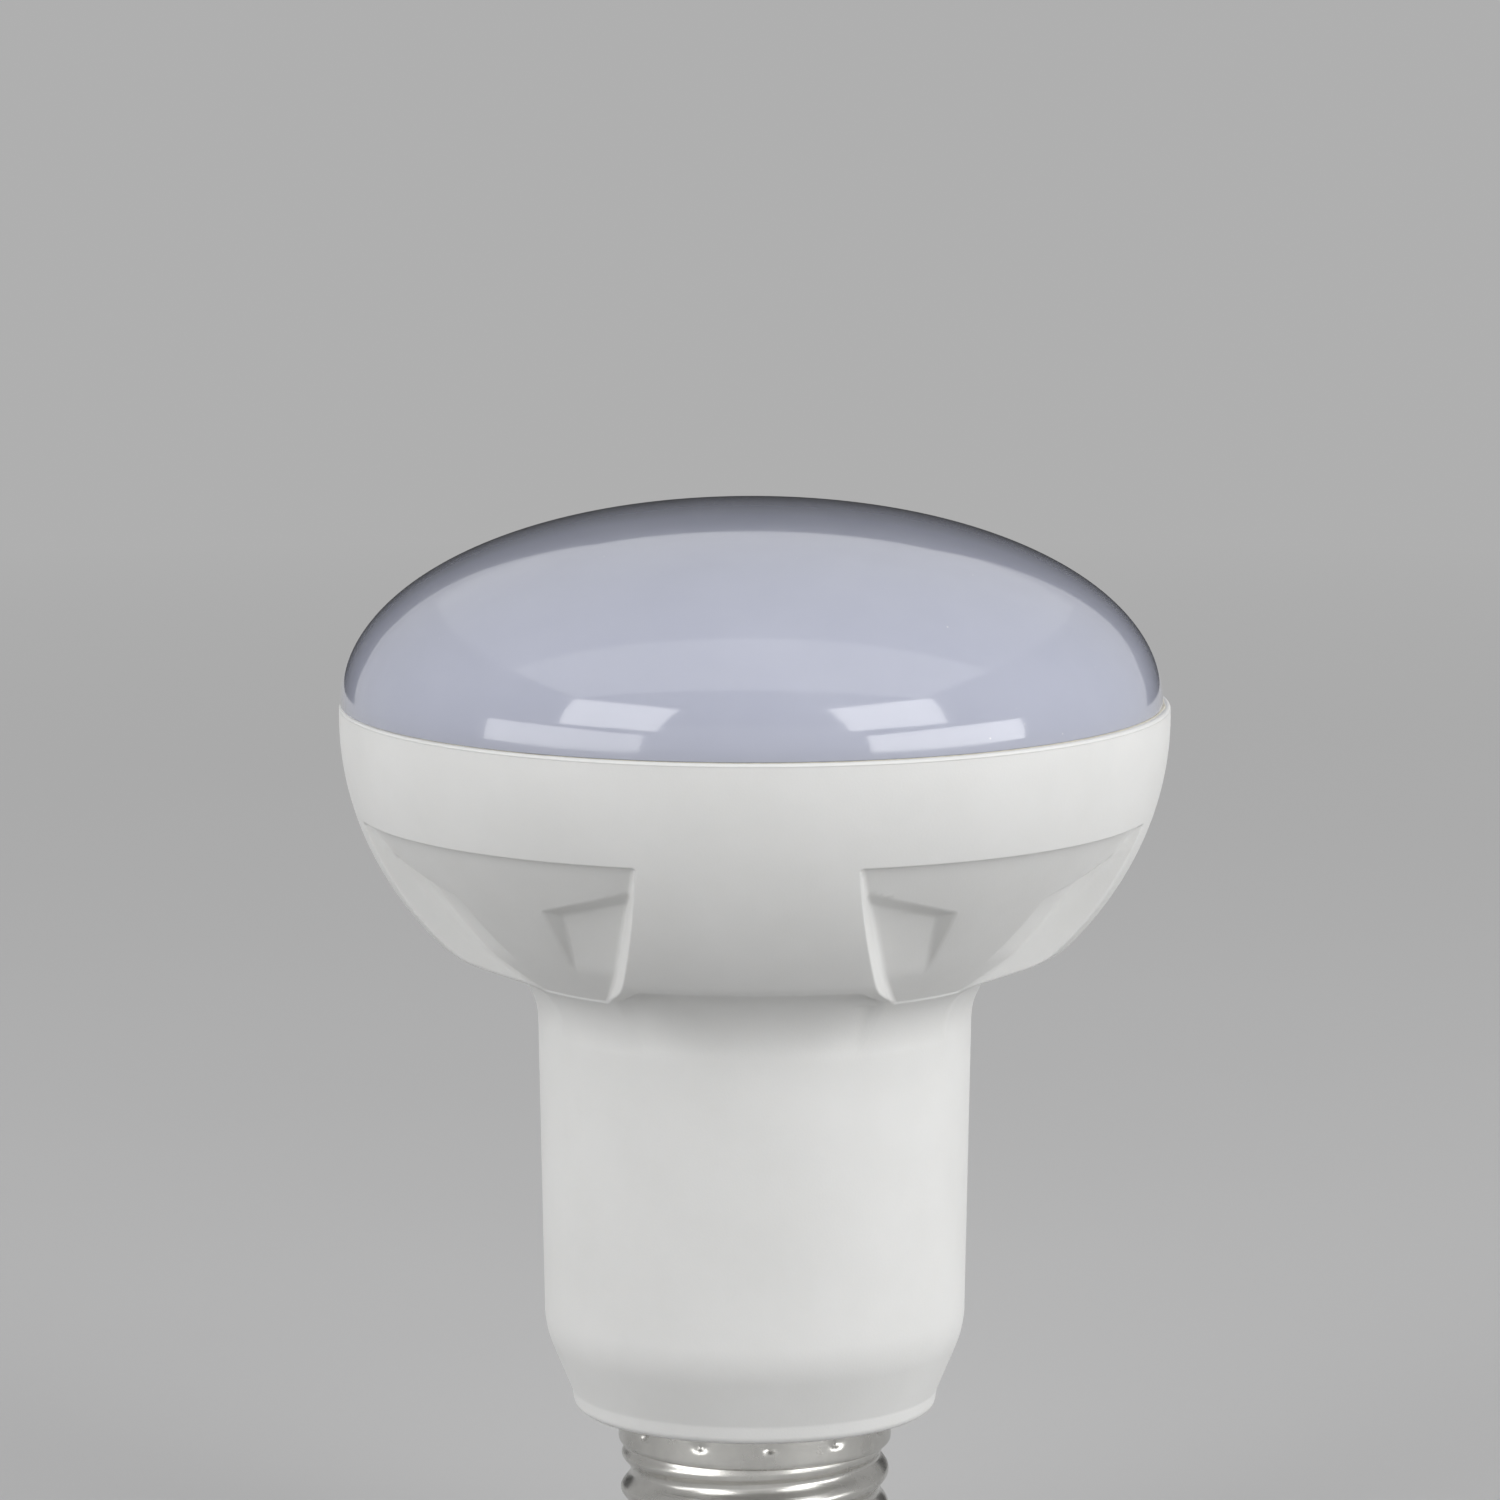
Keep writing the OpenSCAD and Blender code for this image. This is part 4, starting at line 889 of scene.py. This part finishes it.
class Surface(Graph):
    """A new material, with its shader and its place on the object in millimetres."""

    def __init__(self, name):
        self.material = bpy.data.materials.new(name)
        super().__init__(self.material)
        self.shader = self.nodes["Principled BSDF"]
        place = self.nodes.new("ShaderNodeTexCoord")
        scale = self.nodes.new("ShaderNodeVectorMath")
        scale.operation = "SCALE"
        scale.inputs["Scale"].default_value = 1 / MM
        self.links.new(place.outputs["Object"], scale.inputs[0])
        self.place = scale.outputs[0]

    def give(self, **values):
        """Sets or links the shader's sockets, named here with underscores."""
        for name, value in values.items():
            self.put(value, self.shader.inputs[name.replace("_", " ")])

    def texture(self, kind, **values):
        """A texture node on the place, with its sockets set."""
        made = self.nodes.new("ShaderNodeTex" + kind)
        self.links.new(self.place, made.inputs["Vector"])
        for name, value in values.items():
            self.put(value, made.inputs[name.replace("_", " ")])
        return made

    def noise(self, size, detail=3.0):
        """Noise with features of about a size in millimetres, around a half."""
        return self.texture("Noise", Scale=1 / size, Detail=detail, Roughness=0.55).outputs["Fac"]

    def specks(self, spacing, cloud, low, high, size):
        """One in specks, which grow to a size, a share of their spacing, as a cloud goes from low to high."""
        cells = self.texture("Voronoi", Scale=1 / spacing)
        return self.number("LESS_THAN", cells.outputs["Distance"], self.mapped(cloud, low, high, 0.0, size))

    def along(self, axis):
        """The place's coordinate along an axis."""
        split = self.nodes.new("ShaderNodeSeparateXYZ")
        self.links.new(self.place, split.inputs[0])
        return split.outputs[axis]

    def ramp(self, value, low, low_colour, high, high_colour):
        """A colour that runs from one to another as a value goes from low to high."""
        made = self.nodes.new("ShaderNodeValToRGB")
        elements = made.color_ramp.elements
        for element, position, colour in zip(elements, (low, high), (low_colour, high_colour)):
            element.position = position
            element.color = (*colour, 1)
        self.links.new(value, made.inputs["Fac"])
        return made.outputs["Color"]

    def mapped(self, value, low, high, to_low, to_high):
        made = self.nodes.new("ShaderNodeMapRange")
        for name, number in (("From Min", low), ("From Max", high), ("To Min", to_low), ("To Max", to_high)):
            made.inputs[name].default_value = number
        self.links.new(value, made.inputs["Value"])
        return made.outputs["Result"]

    def bump(self, height, distance, strength=1.0, base=None):
        """Relief of a distance in millimetres, which may stand on other relief."""
        made = self.nodes.new("ShaderNodeBump")
        made.inputs["Distance"].default_value = distance * MM
        made.inputs["Strength"].default_value = strength
        self.links.new(height, made.inputs["Height"])
        if base is not None:
            self.links.new(base, made.inputs["Normal"])
        self.links.new(made.outputs["Normal"], self.shader.inputs["Normal"])
        return made.outputs["Normal"]


def shade(colour, factor):
    return tuple(min(c * factor, 1) for c in colour)


def plain_material(name, colour, roughness, mottle=0.06, mottle_size=1.5, grain_size=0.12, grain=0.01):
    """A moulded, painted or glazed surface with slight unevenness in colour, gloss and relief."""
    made = Surface(name)
    cloud = made.noise(mottle_size, 4)
    patches = made.noise(mottle_size * 2.3)
    made.give(Base_Color=made.ramp(cloud, 0.25, shade(colour, 1 - mottle), 0.75, shade(colour, 1 + mottle)),
              Roughness=made.mapped(patches, 0.3, 0.7, roughness - 0.06, roughness + 0.06))
    made.bump(made.noise(grain_size, 2), grain)
    return made.material


def housing_material():
    """Satin white plastic with a very fine eroded skin and a few specks."""
    made = Surface("housing_plastic")
    white = made.ramp(made.noise(9, 5), 0.3, (0.80, 0.80, 0.785), 0.7, (0.835, 0.835, 0.822))
    speck = made.specks(6.5, made.noise(15, 1), 0.35, 0.65, 0.022)
    made.give(Base_Color=made.mixed(made.number("MULTIPLY", speck, 0.35), white, (0.45, 0.43, 0.38)),
              Roughness=made.mapped(made.noise(5), 0.3, 0.7, 0.38, 0.47),
              Subsurface_Weight=0.08, Subsurface_Scale=0.0012)
    made.shader.inputs["Subsurface Radius"].default_value = (1.0, 0.9, 0.8)
    skin = made.bump(made.noise(0.22, 3), 0.012, 0.8)
    made.bump(made.noise(7, 2), 0.05, 0.5, skin)
    return made.material


def diffuser_material():
    """Milky polycarbonate: glossy, bluish grey, slightly wavy, with dust."""
    made = Surface("diffuser_plastic")
    milk = made.ramp(made.noise(14, 3), 0.3, (0.455, 0.475, 0.575), 0.7, (0.485, 0.505, 0.605))
    dust = made.specks(2.4, made.noise(5, 2), 0.4, 0.75, 0.045)
    made.give(Base_Color=made.mixed(made.number("MULTIPLY", dust, 0.6), milk, (0.78, 0.78, 0.76)),
              Roughness=made.mapped(made.noise(4, 4), 0.35, 0.75, 0.09, 0.16), IOR=1.5,
              Coat_Weight=1.0, Coat_Roughness=0.05, Subsurface_Weight=0.25, Subsurface_Scale=0.003)
    made.shader.inputs["Subsurface Radius"].default_value = (1.0, 1.0, 1.1)
    wave = made.bump(made.noise(9, 1), 0.04, 0.5)
    made.bump(made.noise(0.5, 2), 0.002, 0.6, wave)
    return made.material


def sheet_metal(name, colour, roughness):
    """Drawn or rolled sheet, with marks round the axis and dull patches."""
    made = Surface(name)
    lines = made.nodes.new("ShaderNodeTexNoise")
    lines.noise_dimensions = "1D"
    lines.inputs["Scale"].default_value = 9.0
    lines.inputs["Detail"].default_value = 4.0
    made.links.new(made.along("Z"), lines.inputs["W"])
    cloud = made.noise(3, 5)
    made.give(Base_Color=made.ramp(cloud, 0.3, shade(colour, 0.86), 0.7, shade(colour, 1.06)),
              Roughness=made.mapped(cloud, 0.3, 0.7, roughness + 0.1, roughness), Metallic=1.0)
    made.bump(lines.outputs["Fac"], 0.015, 0.6)
    return made.material


def board_material(name, colour, copper):
    """Solder mask over a faint pattern of copper areas."""
    made = Surface(name)
    tracks = made.texture("Brick", Scale=0.22, Mortar_Size=0.03, Color1=colour, Color2=shade(colour, 0.9),
                          Mortar=copper)
    cloud = made.noise(2)
    worn = made.mapped(cloud, 0.3, 0.7, 0.0, 0.25)
    made.give(Base_Color=made.mixed(worn, tracks.outputs["Color"], shade(colour, 0.8)),
              Roughness=made.mapped(cloud, 0.3, 0.7, 0.3, 0.4))
    made.bump(tracks.outputs["Fac"], 0.03, 0.6)
    return made.material


def led_material():
    """The LED packages, yellow with phosphor."""
    made = Surface("led_phosphor")
    spots = made.noise(0.35, 3)
    made.give(Base_Color=made.ramp(spots, 0.3, (0.78, 0.58, 0.10), 0.7, (0.90, 0.72, 0.22)),
              Roughness=made.mapped(spots, 0.3, 0.7, 0.3, 0.45))
    made.bump(made.noise(0.15, 2), 0.01)
    return made.material


def sleeve_material(name, colour, bare_y):
    """A capacitor in its shrunk sleeve, with a bare aluminium end."""
    made = Surface(name)
    bare = made.number("LESS_THAN", made.along("Y"), bare_y)
    cloud = made.noise(1.2)
    sleeve = made.ramp(cloud, 0.3, shade(colour, 0.85), 0.7, shade(colour, 1.15))
    made.give(Base_Color=made.mixed(bare, sleeve, (0.72, 0.73, 0.74)), Metallic=bare,
              Roughness=made.mapped(cloud, 0.3, 0.7, 0.22, 0.32))
    made.bump(made.noise(0.4, 2), 0.01)
    return made.material


def winding_material(name, colour, pitch, axis):
    """Turns of wire or tape that run round a coil, with painted shade darkening the grooves between the
    turns.
    """
    made = Surface(name)
    bands = made.texture("Wave", Scale=1 / pitch / 2, Distortion=0.3)
    bands.bands_direction = axis
    # The darker end of this ramp is painted shade in the grooves between the turns, where the bump sinks.
    made.give(Base_Color=made.ramp(bands.outputs["Fac"], 0.1, shade(colour, 0.55), 0.6, colour),
              Roughness=made.mapped(made.noise(1), 0.3, 0.7, 0.25, 0.38))
    made.bump(bands.outputs["Fac"], pitch / 3)
    return made.material


def dress(part, material):
    """Gives a piece its one material."""
    part.data.materials.clear()
    part.data.materials.append(material)


# Stage, light and camera

def make_floor():
    """Pale paper that keeps the lamp's shadow near it and is an even grey farther off."""
    bpy.ops.mesh.primitive_circle_add(vertices=96, radius=FLOOR_R_M, fill_type="NGON",
                                      location=(0, 0, -FLOOR_DROP_M))
    floor = bpy.context.object
    floor.name = "floor"
    made = Surface("floor_paper")
    made.give(Base_Color=made.ramp(made.noise(260, 3), 0.3, (0.60, 0.60, 0.60), 0.7, (0.62, 0.62, 0.62)),
              Roughness=0.85, Specular_IOR_Level=0.2)
    reach = made.nodes.new("ShaderNodeVectorMath")
    reach.operation = "LENGTH"
    made.links.new(made.place, reach.inputs[0])
    even = made.nodes.new("ShaderNodeEmission")
    made.put(BACKGROUND, even.inputs["Color"])
    fade = made.mapped(reach.outputs["Value"], FADE_START, FADE_END, 0, 1)
    paper = made.blended(fade, made.shader.outputs[0], even.outputs[0])
    dull = made.nodes.new("ShaderNodeBsdfDiffuse")
    made.put(BOUNCE, dull.inputs["Color"])
    shown = made.blended(made.seen_rays(), dull.outputs[0], paper)
    made.links.new(shown, made.nodes["Material Output"].inputs["Surface"])
    dress(floor, made.material)


def make_card():
    """The black card, behind and above the picture, which the top of the dome mirrors."""
    mesh = bpy.data.meshes.new("flag")
    mesh.from_pydata([(x, CARD_Y, z) for x, z in CARD_OUTLINE], [], [range(len(CARD_OUTLINE))])
    card = bpy.data.objects.new("flag", mesh)
    bpy.context.scene.collection.objects.link(card)
    card.visible_camera = False
    made = bpy.data.materials.new("flag_cloth")
    made.use_nodes = True
    made.node_tree.nodes["Principled BSDF"].inputs["Base Color"].default_value = (0.01, 0.01, 0.01, 1)
    dress(card, made)


def soft_box(name, place, target, size, power, mirrored=True):
    """A rectangular area light at a place in metres, turned to a target, unseen by the camera."""
    data = bpy.data.lights.new(name, "AREA")
    data.shape = "RECTANGLE"
    data.size, data.size_y = size
    data.energy = power
    lamp = bpy.data.objects.new(name, data)
    lamp.location = place
    lamp.rotation_euler = (Vector(target) - Vector(place)).to_track_quat("-Z", "Y").to_euler()
    lamp.visible_camera = False
    lamp.visible_glossy = mirrored
    bpy.context.scene.collection.objects.link(lamp)


def round_head(azimuth, height, distance):
    """A place in metres, seen from the head at an azimuth from +Y and a height in degrees."""
    a, e = math.radians(azimuth), math.radians(height)
    return (distance * math.cos(e) * math.sin(a), distance * math.cos(e) * math.cos(a),
            distance * math.sin(e) + RIM_Z * MM)


def make_light():
    """Soft boxes over, before and beside the lamp, and a little light all round."""
    head = (0, 0, RIM_Z * MM)
    soft_box("back_top", (0, 1.23, 1.20), (0, 1.23, 0), (2.2, 2.26), 2.4)
    soft_box("top", (0, -0.30, 1.20), (0, -0.30, 0), (2.2, 0.8), 3.4)
    soft_box("front_left", round_head(-140, 30, 1.2), head, (0.60, 0.46), 2.4)
    soft_box("front_right", round_head(137, 30, 1.2), head, (0.60, 0.46), 2.6)
    soft_box("low_left", round_head(-127, 5, 1.3), head, (1.15, 0.50), 4.0)
    soft_box("low_right", round_head(123, 4, 1.3), head, (1.15, 0.50), 5.6)
    soft_box("side_left", (-1.8, -0.1, 0.95), (0, -0.1, 0.5), (3.0, 1.9), 22.5, mirrored=False)
    soft_box("side_right", (1.8, -0.1, 0.95), (0, -0.1, 0.5), (3.0, 1.9), 28.5, mirrored=False)
    soft_box("front", round_head(180, 8, 1.6), head, (2.0, 1.0), 1.5)
    world = bpy.data.worlds.new("studio")
    bpy.context.scene.world = world
    room = Graph(world)
    seen = room.mixed(room.seen_rays(), AMBIENT, BACKGROUND)
    room.put(seen, room.nodes["Background"].inputs["Color"])
    room.put(1.0, room.nodes["Background"].inputs["Strength"])


def make_camera():
    """The photograph's view: from the front, a little from above, through a long lens."""
    turn = math.radians(VIEW_TURN - 90)
    pitch = math.radians(VIEW_PITCH)
    right = Vector((-math.sin(turn), math.cos(turn), 0))
    inward = Vector((-math.cos(turn), -math.sin(turn), 0))
    look = inward * math.cos(pitch) - Vector((0, 0, 1)) * math.sin(pitch)
    up = right.cross(look)
    data = bpy.data.cameras.new("camera")
    data.sensor_width = SENSOR_W
    data.lens = FOCAL_PX / PHOTO_PX * SENSOR_W
    data.clip_end = 50
    camera = bpy.data.objects.new("camera", data)
    place = -inward * VIEW_DISTANCE + Vector((0, 0, RIM_Z + VIEW_RISE)) - right * VIEW_LEFT
    basis = Matrix((right, up, -look)).transposed().to_4x4()
    camera.matrix_world = Matrix.Translation(place * MM) @ basis
    bpy.context.scene.collection.objects.link(camera)
    bpy.context.scene.camera = camera


make_camera()
make_floor()
make_card()
make_light()

# The outside, in pieces of this script's own
dress(make_diffuser(), diffuser_material())
dress(make_housing(), housing_material())
dress(make_sealant(), plain_material("silicone", (0.66, 0.63, 0.54), 0.5, mottle=0.18, mottle_size=0.8,
                                     grain_size=0.3, grain=0.03))
dress(make_cap_shell(), sheet_metal("cap_nickel", (0.66, 0.65, 0.62), 0.2))
dress(make_insulator(), plain_material("cap_glass", (0.018, 0.018, 0.02), 0.12, grain_size=0.8, grain=0.02))
dress(make_contact(), sheet_metal("contact_brass", (0.75, 0.58, 0.28), 0.25))

# The inside, in parts that are kept from the frame
FERRITE = plain_material("ferrite", (0.05, 0.05, 0.055), 0.6, mottle=0.2, mottle_size=0.4, grain=0.03)
CHIP = plain_material("chip_plastic", (0.03, 0.03, 0.03), 0.5, grain_size=0.08, grain=0.02)
CAN_END_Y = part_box("input_capacitor")[0].y / MM + CAN_END_H
KEPT = {
    "heat_sink": sheet_metal("sink_aluminium", (0.78, 0.79, 0.80), 0.3),
    "led_board": board_material("board_white", (0.82, 0.83, 0.82), (0.70, 0.71, 0.70)),
    "led_chips": led_material(),
    "board_screws": sheet_metal("screw_steel", (0.58, 0.59, 0.60), 0.28),
    "lead_terminal": plain_material("terminal_plastic", (0.78, 0.75, 0.64), 0.4),
    "led_lead_red": plain_material("wire_red", (0.50, 0.03, 0.025), 0.35, grain_size=0.3),
    "led_lead_black": plain_material("wire_black", (0.02, 0.02, 0.02), 0.35, grain_size=0.3),
    "live_wire": plain_material("wire_brown", (0.16, 0.06, 0.025), 0.35, grain_size=0.3),
    "neutral_wire": plain_material("wire_blue", (0.05, 0.14, 0.38), 0.35, grain_size=0.3),
    "driver_board": board_material("circuit_board", (0.05, 0.18, 0.07), (0.09, 0.28, 0.10)),
    "transformer_core": FERRITE,
    "inductor_core": FERRITE,
    "transformer_coil": winding_material("winding_tape", (0.72, 0.50, 0.05), 1.9, "Z"),
    "inductor_coil": winding_material("enamelled_copper", (0.50, 0.17, 0.05), 0.35, "Y"),
    "input_capacitor": sleeve_material("capacitor_blue", (0.03, 0.05, 0.24), CAN_END_Y),
    "output_capacitor": sleeve_material("capacitor_green", (0.02, 0.14, 0.07), CAN_END_Y),
    "film_capacitor": plain_material("film_box", (0.62, 0.42, 0.06), 0.3),
    "fuse_resistor": plain_material("resistor_body", (0.52, 0.40, 0.24), 0.4, mottle=0.12),
    "bridge_rectifier": CHIP,
    "driver_chip": CHIP,
    "chip_resistors": CHIP,
}
for node, material in KEPT.items():
    dress(bpy.data.objects[node], material)

bpy.context.scene.view_settings.view_transform = "Standard"
